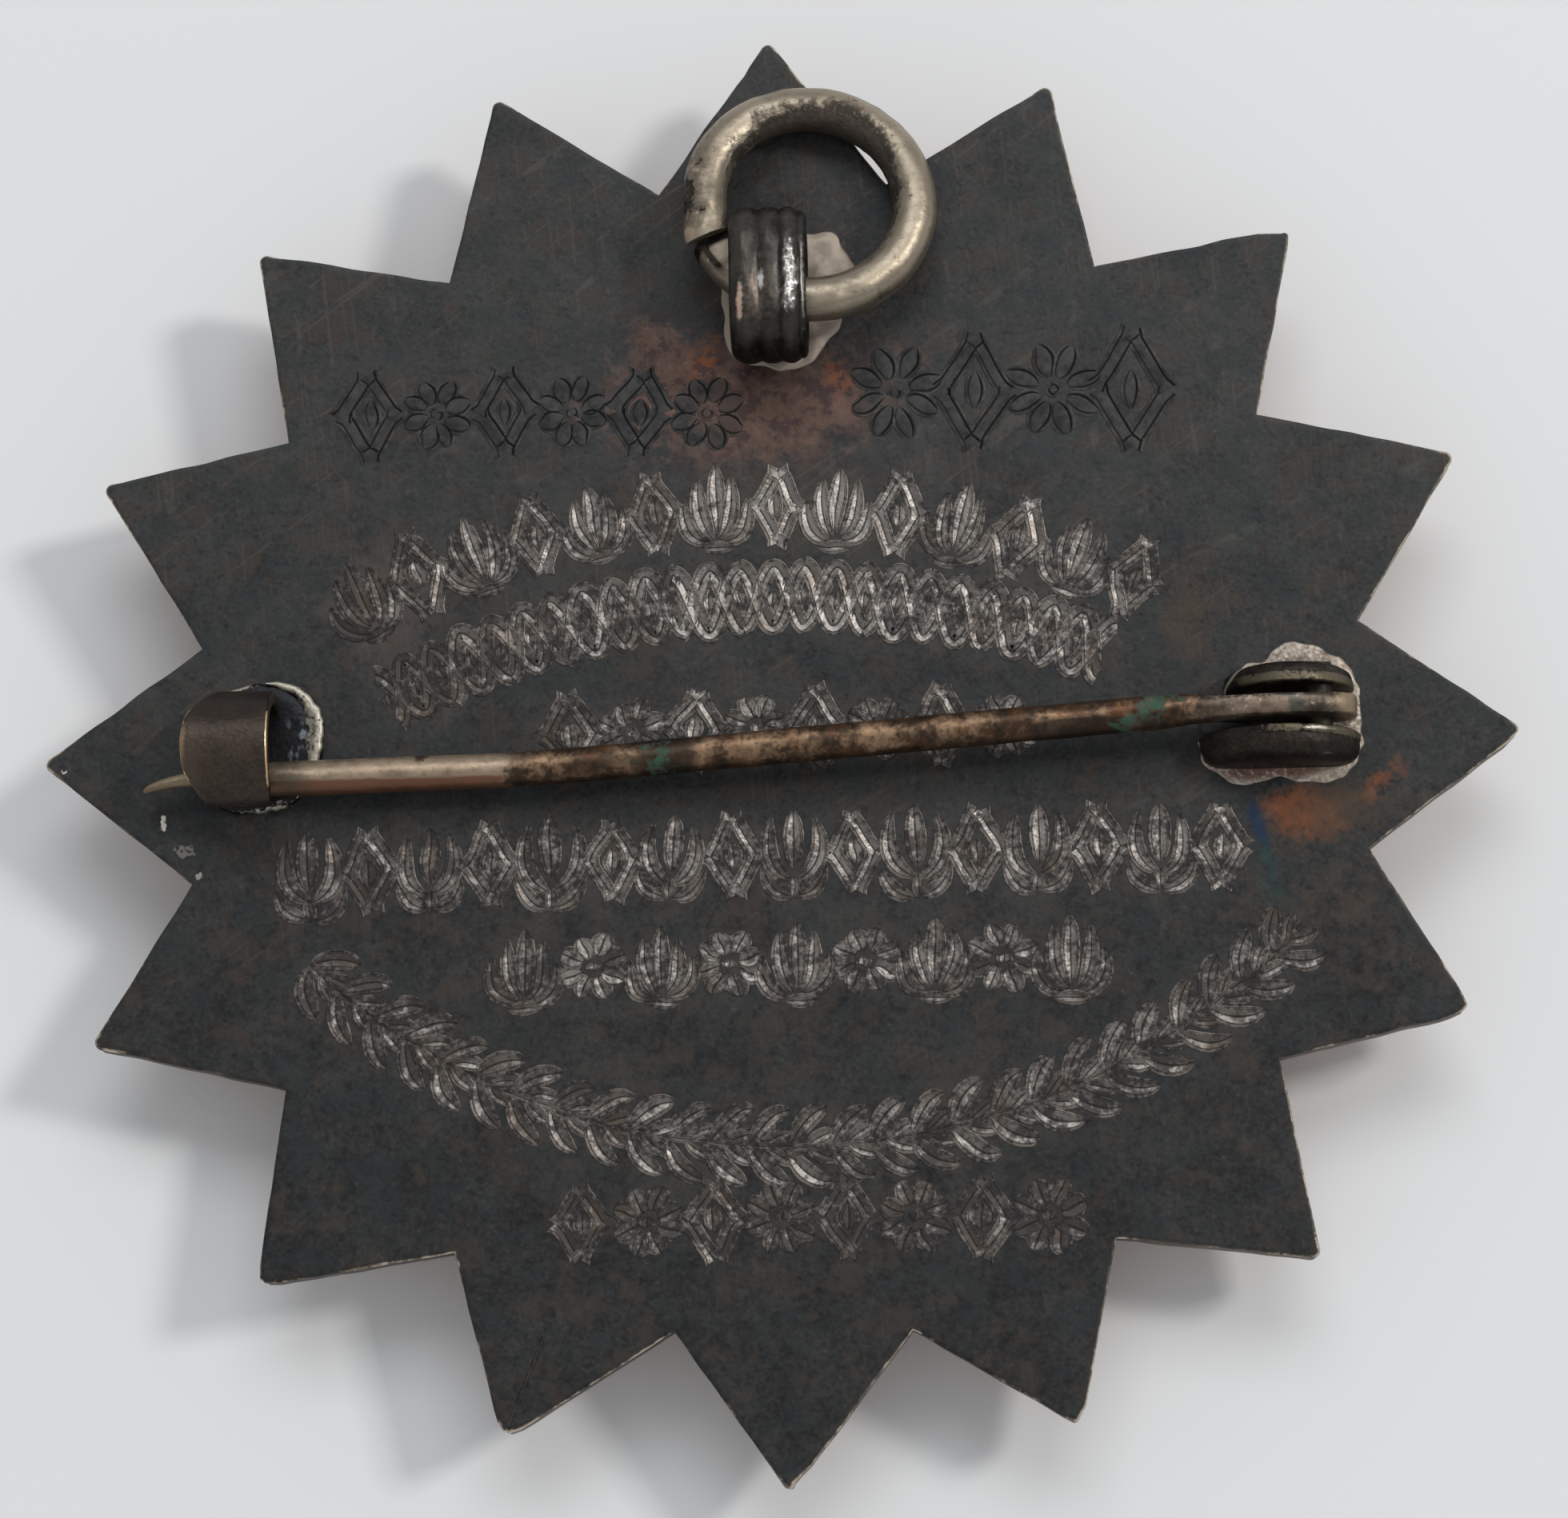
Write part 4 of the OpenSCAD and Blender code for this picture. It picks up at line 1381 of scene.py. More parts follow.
        # Fine unevenness, which fades out at the very ends of the points, and the knocks
        whole = ease(23.2 - np.linalg.norm(line, axis=1), 0, 0.6)
        depth = 0.018 * (1 + ripple(*line.T, 1.6, 31)) * whole
        for x, y, reach, deep in self.knocks:
            depth = depth + deep * bump_at(*line.T, (x, y), reach)
        return line + self.inward(line) * depth[:, None]

    @staticmethod
    def inward(line: Array) -> Array:
        """Unit normals of a closed clockwise line that point inwards."""
        run = np.roll(line, -1, 0) - np.roll(line, 1, 0)
        run /= np.linalg.norm(run, axis=1, keepdims=True)
        return np.stack([run[:, 1], -run[:, 0]], -1)

    def shrunk(self, line: Array, inset: Array | float) -> Array:
        """The outline moved in by an inset, which the round ends of the points limit."""
        return line + self.inward(line) * np.broadcast_to(inset, len(line))[:, None]

    def halo(self, x: Array, y: Array, places: Sequence[Array]) -> Array:
        """How much cut work lies round a place: the cuts' points counted on a grid and blurred.

        Args:
            x: Places, in mm.
            y: Places, in mm.
            places: Points of the cuts.

        Returns:
            0 far from any cut, to 1 among them.
        """
        cells = round(2 * self.halo_half / self.halo_step)
        edges = np.linspace(-self.halo_half, self.halo_half, cells + 1)
        dots = np.concatenate(places)
        count = np.histogram2d(dots[:, 0], dots[:, 1], (edges, edges))[0].clip(0, 3)
        pace = np.fft.fftfreq(cells, self.halo_step)
        soft = np.exp(-2 * (np.pi * self.halo_blur) ** 2 * (pace[:, None] ** 2 + pace[None] ** 2))
        blurred = np.fft.ifft2(np.fft.fft2(count) * soft).real
        blurred /= np.quantile(blurred, 0.93)
        col, row = (((at + self.halo_half) / self.halo_step).astype(int).clip(0, cells - 1) for at in (x, y))
        return np.clip(blurred[col, row], 0, 1)

    def build(self, cuts: Sequence[Array]) -> bpy.types.Object:
        """Carries the outline through a profile: back, worn bevel, wall, underside, raised middle and its face.

        Args:
            cuts: Points of the engraved cuts, for the dark halo round them.

        Returns:
            The object.
        """
        line = self.outline()
        tip = np.linalg.norm(line, axis=1)
        worn = self.bevel + 0.022 * ripple(*line.T, 2.6, 41) + 0.03 * ease(tip, 22.2, 22.9)
        worn = np.clip(worn + 0.015 * ease(-line[:, 1], 5, 18), *self.bevel_range)
        facing = -self.inward(line) @ np.array(self.bright_side)
        bare = 0.36 + 0.36 * facing.clip(0) + 0.34 * ease(tip, 22.2, 22.9)
        bare = bare + 0.17 * ripple(*line.T, 2, 47)
        rows: list[Array] = []
        wear: list[Array] = []
        wall: list[float] = []

        def put(flat: Array, z: Array | float, how: Array | float, side: float) -> None:
            """Adds one loop of the skin with its wear and its share of wall."""
            rows.append(np.column_stack([flat, np.broadcast_to(z, len(flat))]))
            wear.append(np.broadcast_to(how, len(flat)))
            wall.append(side)

        # The back, out from its middle, then the bevel and the wall
        inner = self.shrunk(line, worn)
        for share in (*np.linspace(0.006, 0.985, 84), 0.993):
            flat = inner * share
            put(flat, BACK + star_dents(*flat.T), 0.0, 0.0)
        lift = star_dents(*inner.T)
        put(inner, BACK + lift, 0.3, 0.0)
        put(self.shrunk(line, worn * 0.4), BACK + lift - worn * 0.22, bare, 0.2)
        put(line, BACK + lift - worn * 0.9, bare, 0.6)
        rough = 0.01 * ripple(line[:, 0] * 3, line[:, 1] * 3, 2.0, 43)
        for drop in (0.4, 0.75, 1.05):
            put(self.shrunk(line, 0.015 + np.abs(rough)), BACK - drop, 0.25, 1.0)
        put(self.shrunk(line, 0.02), self.boss_h + 0.09, 0.5, 1.0)
        put(self.shrunk(line, 0.10), self.boss_h, 0.6, 0.6)
        # The underside, in to the raised middle's foot, and the raised middle
        turn = np.arctan2(line[:, 1], line[:, 0])
        rim = ray(turn) * self.boss_r
        low = self.shrunk(line, 0.3)
        for share in np.linspace(0, 1, 9):
            put(low * (1 - share) + rim * (1 + 0.012 * (1 - share)) * share, self.boss_h, 0.0, 0.3)
        for inset, z, how, side in self.boss:
            put(rim * (1 - inset / self.boss_r), z, how, side)
        grid = np.array(rows)
        near = self.halo(grid[..., 0], grid[..., 1], cuts) * (grid[..., 2] > BACK - 0.1)
        marks: dict[str, Array] = {tint.mark: np.zeros(grid.shape[:2]) for tint in Tint}
        for stain in self.stains:
            marks[stain.tint.mark] = np.maximum(marks[stain.tint.mark], stain.mask(grid[..., 0], grid[..., 1]))
        skin = Skin(("wear", "wall", "near", *marks))
        skin.add(grid, wear=np.array(wear), wall=np.array(wall)[:, None], near=near, **marks)
        return skin.make("star", TarnishedSilver().build(), 50)


def corner_ring(count: int, between: int = 0) -> tuple[Array, Array]:
    """The parts of a rounded oblong's outline, anticlockwise from its right side.

    A point of the outline is its sign times the half size without the corner, plus its arc times the corner's
    radius, on each axis.

    Args:
        count: Points on each corner.
        between: Points on the long sides between two corners.

    Returns:
        Signs and arcs, both (points, 2).
    """
    turn = np.linspace(0, np.pi / 2, count)
    arc = ray(turn)
    steps = np.linspace(1, -1, between + 2)[1:-1]
    top, flat = np.ones(between), np.zeros(between)
    corners = [np.tile(c, (count, 1)) for c in ((1, 1), (-1, 1), (-1, -1), (1, -1))]
    upper, lower = np.column_stack([steps, top]), np.column_stack([-steps, -top])
    signs = np.concatenate([corners[0], upper, corners[1], corners[2], lower, corners[3]])
    quarters = [arc, arc[:, ::-1] * (-1, 1), -arc, arc[:, ::-1] * (1, -1)]
    above, below = np.column_stack([flat, top]), np.column_stack([flat, -top])
    arcs = np.concatenate([quarters[0], above, quarters[1], quarters[2], below, quarters[3]])
    return signs, arcs


@dataclass
class SolderSpread:
    """A flat, lumpy spread of solder round the foot of a fitting, with ovals where it is dull."""

    name: str
    corners: tuple[Place, ...]
    dull: tuple[tuple[Place, Place, float], ...] = ()
    thick: float = 0.14
    seed: int = 1
    # Points between two corners, height of the sunk foot over the back, and how far in the last loop is
    between: int = 16
    foot: float = -0.09
    inmost: float = 0.97

    def build(self) -> bpy.types.Object:
        """Shrinks a smoothed outline towards its middle while the height rises as a quarter wave, with ripples."""
        corners = np.array(self.corners)
        count = self.between * len(corners)
        share = np.arange(count) / count * len(corners)
        back, part = share.astype(int), (share % 1)[:, None]
        p0, p1, p2, p3 = (corners[(back + k) % len(corners)] for k in (-1, 0, 1, 2))
        line = 0.5 * (
            2 * p1 + (p2 - p0) * part + (2 * p0 - 5 * p1 + 4 * p2 - p3) * part**2
            + (3 * p1 - p0 - 3 * p2 + p3) * part**3
        )
        middle = line.mean(0)
        ragged = 1 + 0.025 * ripple(*line.T, 0.9, self.seed)
        line = middle + (line - middle) * ragged[:, None]
        steps = np.concatenate([[0.0], np.linspace(0, 1, 14) ** 1.4])[:, None]
        flat = line * (1 - steps[..., None] * self.inmost) + middle * steps[..., None] * self.inmost
        rise = self.thick * np.sin(np.clip(steps * 5, 0, 1) * np.pi / 2) * (
            0.72 + 0.26 * ripple(flat[..., 0], flat[..., 1], 0.8, self.seed + 1)
        )
        z = BACK + rise.clip(-0.02, self.thick)
        z[0] = BACK + self.foot
        ovals = [how * bump_at(flat[..., 0], flat[..., 1], at, reach) for at, reach, how in self.dull]
        dim = np.max([np.zeros_like(z), *ovals], axis=0)
        skin = Skin(("rim", "dim"))
        skin.add(np.concatenate([flat, z[..., None]], -1), rim=1 - np.clip(steps * 4, 0, 1), dim=dim)
        return skin.make(self.name, Solder().build())


BAIL_SOLDER = SolderSpread(
    "bail_solder",
    (
        (-2.05, 16.3), (-1.4, 16.75), (-0.2, 16.9), (0.9, 16.6), (1.7, 16.66), (2.12, 16.58), (2.26, 16.1),
        (2.72, 15.55), (2.45, 15.0), (2.25, 14.2), (2.16, 13.5), (1.72, 12.98), (1.38, 12.52), (1.02, 12.24),
        (0.4, 12.14), (-0.1, 12.24), (-1.0, 12.48), (-1.4, 13.0), (-1.52, 14.0), (-1.7, 15.2),
    ),
    seed=3,
)
HINGE_SOLDER = SolderSpread(
    "hinge_solder",
    (
        (13.02, -0.15), (13.3, -0.45), (14.3, -0.5), (15.0, 0.2), (14.6, 1.1), (14.3, 1.75), (14.6, 2.28),
        (15.2, 2.38), (15.5, 2.72), (16.0, 2.93), (16.6, 2.88), (17.1, 2.62), (17.65, 2.38), (17.98, 1.9),
        (18.1, 1.1), (18.16, -0.1), (17.98, -0.84), (17.41, -1.38), (16.54, -1.51), (15.9, -1.36), (15.4, -1.32),
        (14.8, -1.54), (14.06, -1.50), (13.34, -1.0), (13.03, -0.47),
    ),
    dull=(((15.0, -0.98), (2.0, 0.50), 1.1), ((13.1, -0.3), (0.4, 0.6), 0.8), ((13.5, -0.9), (0.5, 0.4), 0.8)),
    thick=0.085,
    seed=7,
)


@dataclass
class Bail:
    """The reeded bail: a strip with three ribs and a thin lip, bent to an oval loop that stands on the back."""

    # Width and thickness of the strip, and height of its ribs
    wide: float = 2.4
    thick: float = 0.5
    rib: float = 0.10
    # The loop inside: radius of its half circles, length of its straight stretches, and its middle
    inner_r: float = 1.3
    straight: float = 1.28
    y: float = 14.44
    # Ribs across the strip: left edge, right edge and share of the full height
    ribs: Table = (
        (-1.17, -0.28, 1.0), (-0.28, 0.38, 0.85), (0.38, 0.98, 1.0), (0.98, 1.18, 0.5)
    )

    def section(self) -> tuple[Array, Array]:
        """Section of the strip: a rounded flat inside, and outside three half-sine ribs and a lip on the right.

        Returns:
            The section as (across, outwards), and 1 on the ribs' tops to 0 in their grooves.
        """
        half = self.wide / 2
        x = np.linspace(-half + 0.07, half - 0.07, 60)
        lift = np.zeros_like(x)
        for low, high, tall in self.ribs:
            inside = (x >= low) & (x <= high)
            lift[inside] = tall * np.sin(np.pi * (x[inside] - low) / (high - low)) ** 0.9
        top = self.thick - 0.05 + self.rib * lift - 0.20 * np.abs(x / half) ** 5
        # The strip's two rounded sides
        right = np.column_stack([[half - 0.02, half, half, half - 0.04], [0.25, 0.20, 0.10, 0.03]])
        left = np.column_stack([[-half + 0.04, -half, -half, -half + 0.02], [0.03, 0.10, 0.18, 0.24]])
        line = np.concatenate([np.column_stack([x, top]), right, left])
        crown = np.concatenate([lift, np.full(len(right) + len(left), 0.35)])
        return line, crown

    def build(self) -> bpy.types.Object:
        """Carries the section round a stadium in the YZ plane: two half circles joined by straight stretches."""
        section, crown = self.section()
        turn = np.linspace(-np.pi / 2, np.pi / 2, 33)
        half = self.straight / 2
        rest = np.linspace(half, -half, 9)[1:-1]
        right = np.column_stack([np.full_like(turn, half), np.cos(turn), np.sin(turn)])
        upper = np.column_stack([rest, np.zeros_like(rest), np.ones_like(rest)])
        # Offset from the middle in Y, then the outward direction in Y and Z
        path = np.concatenate([right, upper, -right, -upper])
        reach = self.inner_r + section[:, 1]
        y = self.y + path[:, :1] + path[:, 1:2] * reach
        z = BACK + self.inner_r + self.thick + path[:, 2:] * reach
        x = np.broadcast_to(section[:, 0], y.shape)
        sway = 0.02 * ripple(y, z, 2.5, 61)
        x = x + sway * (np.abs(x) < self.wide / 2 - 0.05)
        z = z - (0.012 * np.abs(ripple(x * 2, y, 1.6, 63)) + 0.012 * ripple(x * 2.5, y, 0.9, 65)) * (z > BACK + 1)
        skin = Skin(("crown",))
        skin.add(np.stack([x, y, z], -1), ring=True, crown=crown[None])
        return skin.make("bail", ReededStrip().build(), 55)


@dataclass(frozen=True)
class Ear:
    """One ear of the hinge: which side of the slot it is on, its middle and half length, and its section."""

    side: int
    x: float
    half: float
    # Distances of its inner and outer face from the hinge's middle, and the width of its lip
    inner: float
    outer: float
    lip: float
    # Drop of its round shoulder, and the power of that curve
    corner: float
    power: float
    # How bright the painted highlights on the lip and the left end are, and where round the ear the lip ends, in
    # radians
    lip_highlight: float
    left_highlight: float
    lip_end: float


@dataclass
class Hinge:
    """Two round-topped ears with a slot between them, soldered to the back."""

    # Middle of the slot, height of the ears' round, and how far its middle lies below the back
    y: float = 0.55
    r: float = 2.55
    drop: float = 0.2
    ears: tuple[Ear, ...] = (
        Ear(
            side=1, x=15.92, half=2.06, inner=0.75, outer=1.50, lip=0.34, corner=0.95, power=2.2,
            lip_highlight=0.25, left_highlight=1.4, lip_end=2.6,
        ),
        Ear(
            side=-1, x=15.6, half=2.55, inner=0.56, outer=1.59, lip=0.30, corner=1.15, power=2.9,
            lip_highlight=0.85, left_highlight=0.0, lip_end=1.9,
        ),
    )
    # The lip's section, out from the slot: share of its width and a step added, depth sunk, and the marks for lip
    # and painted highlight line
    lip_rows: Table = (
        (0.0, 0.0, 0.10, 0.3, 0.0),
        (0.0, 0.02, 0.04, 0.8, 0.2),
        (0.0, 0.06, 0.0, 1.0, 0.6),
        (0.5, 0.0, 0.0, 1.0, 1.0),
        (1.0, -0.04, 0.025, 0.8, 0.15),
        (1.0, -0.01, 0.05, 0.4, 0.0),
    )
    # Turns round an ear at which the painted highlight line and the painted highlight on the left end lie, in radians
    line_turn: float = 1.15
    left_turn: float = 2.98

    def ear(self, skin: Skin, ear: Ear) -> None:
        """Adds one ear: half ovals whose reach follows a lip, a shallow groove and a round shoulder.

        The shoulder falls as 1 less a power curve, so that it is round but covers the rivet.

        Args:
            skin: Where it goes.
            ear: Its measures.
        """
        share = np.sin(np.linspace(0, np.pi / 2, 16))
        shoulder = ear.inner + ear.lip + (ear.outer - ear.inner - ear.lip) * share
        fall = ear.corner * (1 - (1 - share**ear.power * 0.999) ** (1 / ear.power))
        part, step, deep, lip, line = np.array(self.lip_rows).T
        off = np.concatenate([ear.inner + (part * ear.lip + step), shoulder])
        sunk = np.concatenate([deep, fall + deep[-1]])
        lip = np.concatenate([lip, np.zeros_like(share)])
        line = np.concatenate([line, 0.25 * hump(share, 0.3, 0.2)])
        base = math.asin((self.drop - 0.08) / self.r)
        turn = base + np.linspace(0, np.pi, 61) * (1 - 2 * base / np.pi)
        uneven = np.abs(ripple(turn[None] * 2, off[:, None] * 3, 1.4, 70 + ear.side))
        grow = 1 - sunk[:, None] / self.r - 0.010 * uneven
        x = ear.x + ear.half * np.cos(turn) * grow
        z = BACK - self.drop + self.r * np.sin(turn) * grow
        y = np.broadcast_to((self.y + ear.side * off)[:, None], x.shape)
        along = hump(turn, self.line_turn, 0.42)
        across = (off - ear.inner)[:, None]
        left = hump(turn + 0.75 * across, self.left_turn, 0.08) * (across > 0.01)
        # Painted highlights: a line along the lip and a spot on the left end
        wear = line[:, None] * ear.lip_highlight * along + ear.left_highlight * left
        lip = lip[:, None] * ease(-turn, -ear.lip_end - 0.3, -ear.lip_end + 0.3)
        skin.add(np.stack([x, y, z], -1), lip=lip, wear=wear)

    def build(self) -> bpy.types.Object:
        """Makes both ears as one piece."""
        skin = Skin(("lip", "wear"))
        for ear in self.ears:
            self.ear(skin, ear)
        return skin.make("hinge_ears", HingeBronze().build(), 40)


@dataclass
class Catch:
    """A round base with a crescent rim, and a hook of sheet that is bent over the pin, open towards -Y."""

    # Middle of the base
    x: float = -16.45
    y: float = 0.32
    # The base from its foot to its middle: radius, height over the back, and how strongly it takes the painted
    # highlights
    rows: Table = (
        (2.15, -0.09, 0.4), (2.15, 0.10, 1.0), (2.12, 0.20, 1.0), (2.03, 0.26, 0.7), (1.7, 0.27, 0.0),
        (1.1, 0.27, 0.0), (0.5, 0.27, 0.0), (0.1, 0.27, 0.0),
    )
    # Azimuths at which the base is ragged and carries a painted highlight, in degrees
    south: float = 280.0
    north: float = 107.0
    # Crescent rim: its height, then azimuth in degrees, width and outer radius along it
    rim_t: float = 0.42
    rims: Table = (
        (-50, 0.04, 2.10), (-30, 0.22, 2.08), (-10, 0.38, 2.09), (7, 0.53, 2.18), (22, 0.56, 2.33), (36, 0.44, 2.41),
        (52, 0.32, 2.40), (67, 0.20, 2.27), (80, 0.04, 2.15)
    )
    # The hook: middle of its bend, outer radius, thickness and right edge, the turns of its foot and its free end in
    # degrees, how far the free end flares, and the radius of its corners
    hook_y: float = 0.06
    hook_z: float = BACK + 1.15
    hook_r: float = 1.9
    hook_t: float = 0.45
    right: float = -15.66
    start: float = -45
    end: float = 160
    flare: float = 0.16
    corner: float = 0.085
    # Left edge of the hook: turn in degrees, from its foot to its free end, and x
    left: Table = (
        (-45, -17.40), (12, -17.45), (37, -17.80), (55, -18.12), (67, -18.27), (90, -18.36), (111, -18.33),
        (127, -18.15), (145, -17.86), (160, -17.50)
    )

    def base(self, skin: Skin) -> None:
        """Adds the base: circles that shrink from the foot over a round edge to the middle."""
        turn = np.linspace(0, 2 * np.pi, 145)[:-1]
        radii, heights, rubbed = np.array(self.rows).T[..., None]
        south, north = hump(turn, math.radians(self.south), 0.5), hump(turn, math.radians(self.north), 0.32)
        shake = 0.6 + 0.5 * ripple(turn * 6, turn * 0 + 3, 1.5, 82)
        ragged = 1 - 0.02 * np.abs(ripple(turn * 6, turn * 0, 1.3, 80)) - 0.06 * south * shake - 0.05 * north
        x = self.x + radii * np.cos(turn) * ragged
        y = self.y + radii * np.sin(turn) * ragged
        z = BACK + heights - 0.03 * np.abs(ripple(x, y, 1.2, 81))
        # Painted highlights on the base's edge at the south and north azimuths
        skin.add(np.stack([x, y, z], -1), base=1.0, rim=rubbed * (1.15 * south + 1.4 * north))

    def rim(self, skin: Skin) -> None:
        """Adds the crescent rim: a rounded oblong round the base's right side, as wide as its table says."""
        table = np.array(self.rims)
        turn = np.radians(np.linspace(table[0, 0], table[-1, 0], 81))
        signs, arcs = corner_ring(6, 5)
        width, outer = (glide(table[:, 0], table[:, k], np.degrees(turn)) for k in (1, 2))
        width = width * (1 + 0.14 * ripple(turn * 5, turn * 0, 1.2, 84))
        outer = (outer + 0.03 * ripple(turn * 5, turn * 0, 1.0, 85))[:, None]
        share = np.clip(width / 0.5, 0, 1)
        wide, corner = width[:, None], np.minimum(0.13, width * 0.45)[:, None]
        tall = self.rim_t * (0.62 + 0.38 * share[:, None])
        out = outer - wide / 2 + signs[:, 0] * (wide / 2 - corner) + corner * arcs[:, 0]
        up = tall / 2 + signs[:, 1] * (tall / 2 - corner) + corner * arcs[:, 1]
        up = up - 0.10 * (up > tall / 2) * ease(outer - out, 0.2, 0.5)
        grid = np.stack(
            [self.x + out * np.cos(turn)[:, None], self.y + out * np.sin(turn)[:, None], BACK + up - 0.01], -1
        )
        bright = ease(up, 0.12, 0.3) * (0.80 + 0.20 * ease(out - outer, -0.45, -0.1))
        skin.add(grid, rim=bright)

    def hook(self, skin: Skin) -> None:
        """Adds the hook: a rounded oblong turned about an X axis, its left side cut to the base's circle."""
        turn = np.radians(np.linspace(self.start, self.end, 85))
        signs, arcs = corner_ring(7, 9)
        tip = ease(turn, math.radians(self.end - 16), math.radians(self.end))
        flared = self.flare * ease(turn, math.radians(136), math.radians(self.end))
        middle_r = self.hook_r - self.hook_t / 2 + flared[:, None]
        table = np.array(self.left)
        left = glide(table[:, 0], table[:, 1], np.degrees(turn))
        right = self.right - 0.05 * tip
        thick = self.hook_t * (1 - 0.35 * tip)
        flat_x, flat_up = ((right - left) / 2 - self.corner)[:, None], (thick / 2 - self.corner)[:, None]
        across = ((left + right) / 2)[:, None] + signs[:, 0] * flat_x + self.corner * arcs[:, 0]
        reach = middle_r + signs[:, 1] * flat_up + self.corner * arcs[:, 1]
        reach = reach - 0.025 * np.abs(ripple(across, reach * 0 + turn[:, None] * 1.7, 2.2, 83))
        grid = np.stack(
            [across, self.hook_y + reach * np.cos(turn)[:, None], self.hook_z + reach * np.sin(turn)[:, None]], -1
        )
        # The edge mark: a painted highlight along the hook's right edge over the middle of its bend, and a dimmer one
        # along its left edge
        outer = ease(arcs[:, 1], -0.2, 0.4) * (signs[:, 1] > 0)
        lit = ease(turn, 0.6, 1.3)[:, None] * ease(-turn, -2.6, -2.2)[:, None]
        edge = (signs[:, 0] > 0.99) * ease(arcs[:, 0], 0.1, 0.6) * outer * lit
        dim = 0.55 * (signs[:, 0] < -0.99) * ease(-arcs[:, 0], 0.0, 0.5) * outer * ease(turn, 0.6, 1.0)[:, None]
        skin.add(grid, edge=np.maximum(edge, dim))

    def build(self) -> bpy.types.Object:
        """Makes base, rim and hook as one piece."""
        skin = Skin(("edge", "rim", "base"))
        self.base(skin)
        self.rim(skin)
        self.hook(skin)
        return skin.make("catch", HookBronze().build(), 50)


@dataclass
class JumpRing:
    """An open ring of round wire. One end is pinched and lies over the other, which is filed."""

    # Radius of the wire, and of the ring to the wire's middle
    wire: float = 0.71
    r: float = 3.33
    # Tilt of the ring's plane and its turn on the plate, in degrees, and how much higher the upper end lies
    slope: float = 12.0
    skew: float = 22.0
    lap: float = 0.35
    # Place in the bail about which it is tilted, and the distance from there to the ring's middle
    axis: tuple[float, float, float] = (0.14, 14.28, BACK + 2)
    to_centre: float = 3.17
    # Turn at which it is cut open and width of the cut, in degrees, and length of the wire
    cut: float = 203.5
    gap: float = 3.2
    length: float = 21.0
    # Shares of the turn over which the upper end is pinched, and from the other end over which the lower is filed
    pinched: Place = (0.945, 1.0)
    filed: Place = (0.915, 0.965)
    # At the pinched end: how much flatter, wider and thinner the wire is, and how far it is pushed out, in mm
    flatter: float = 0.20
    wider: float = 0.06
    thinner: float = 0.05
    pushed: float = 0.16
    # At the filed end: share of the wire's radius that is filed off
    off: float = 0.42
    # Share of the way round, from the lower end, where the dark inside, part dirt and part painted shade, is widest,
    # and how far it reaches
    dark_inside_at: float = 0.622
    dark_inside_reach: float = 0.196
    # Dents in the wire: distance from the lower end in mm, place round the wire in degrees up from the outside,
    # reach along and round the wire, depth, and how dark they are (less than 0: rubbed bright)
    dents: tuple[tuple[float, float, Place, float, float], ...] = (
        (5.8, 8, (0.18, 0.20), 0.10, 0.75),
        (18.72, 48, (0.12, 0.34), 0.16, 0.95),
        (19.02, 58, (0.14, 0.20), -0.08, -1.1),
        (19.68, 18, (0.55, 0.50), 0.16, 1.7),
        (20.3, 80, (0.11, 0.22), 0.22, 0.95),
        (20.42, 60, (0.08, 0.20), -0.03, -0.8),
        (20.78, 30, (0.24, 0.42), -0.02, -1.1),
    )

    def build(self) -> bpy.types.Object:
        """Carries a circle once round, its centre rising with the square of the share of the turn.

        Near the upper end the section is flattened and pushed outwards. Near the lower end its top is filed to a
        facet. Both come on as smooth steps of the share of the turn.
        """
        share = np.linspace(0, 1, 241)
        start = self.cut + self.skew + self.gap / 2
        a = np.radians(start + (360 - self.gap) * share)
        b = np.linspace(0, 2 * np.pi, 33)[:-1]
        round_out, round_up = np.cos(b)[None], np.sin(b)[None]
        run = (share * self.length)[:, None]
        over = ease(share, *self.pinched)
        under = ease(1 - share, *self.filed)
        rough, dark = self.dented(run, b, 0.025 * np.abs(ripple(run * 2.9, round_out * 2 + round_up, 4, 90)))
        radius = self.wire * (1 - rough) * (1 - self.thinner * over[:, None])
        out = self.r + self.pushed * over[:, None] + radius * round_out * (1 + self.wider * over)[:, None]
        tall = self.lap * share**2
        up = tall[:, None] + radius * round_up * (1 - self.flatter * over)[:, None]
        facet = self.wire * (1 - self.off * under) + 0.3 * (1 - under)
        up = np.minimum(up, (tall + facet)[:, None])
        slant = np.radians(2.2) * (round_up * (over - under)[:, None])
        turn = a[:, None] + slant
        local = np.stack([out * np.cos(turn), self.to_centre + out * np.sin(turn), up], -1)
        tilt = Matrix.Rotation(math.radians(-self.skew), 3, "Z") @ Matrix.Rotation(math.radians(-self.slope), 3, "X")
        grid = local @ np.array(tilt).T + np.array(self.axis)
        # Dark inside, part dirt and part painted shade, widest round the top of the ring
        dark_inside = 1.15 * hump(share, self.dark_inside_at, self.dark_inside_reach) - 0.95
        ends = 0.7 * ease(share, 0.986, 0.992)[:, None] * ease(round_out, 0.0, 0.4)
        marks = {
            "inner": dark_inside[:, None] - round_out,
            "facet": np.maximum(under[:, None] * ease(round_up, 0.1, 0.3) * ease(-round_out, -0.50, -0.40), ends),
            # The groove mark is painted shade: a dark line along the filed facet's outer edge, and the upper end's
            # shadow on the lower end
            "groove": np.maximum(
                ease(1 - share, 0.94, 0.96)[:, None] * bump_at(round_out, round_up, (0.60, 0.78), (0.16, 0.6)),
                ease(-run, -0.34, -0.18) * (round_up > -0.5),
            ),
            "pinch": dark,
        }
        skin = Skin(("inner", "along", "turn", "facet", "groove", "pinch"))
        skin.add(grid, along=run, turn=round_up * self.wire, **marks)
        return skin.make("jump_ring_wire", NickelSilver().build(), 50)

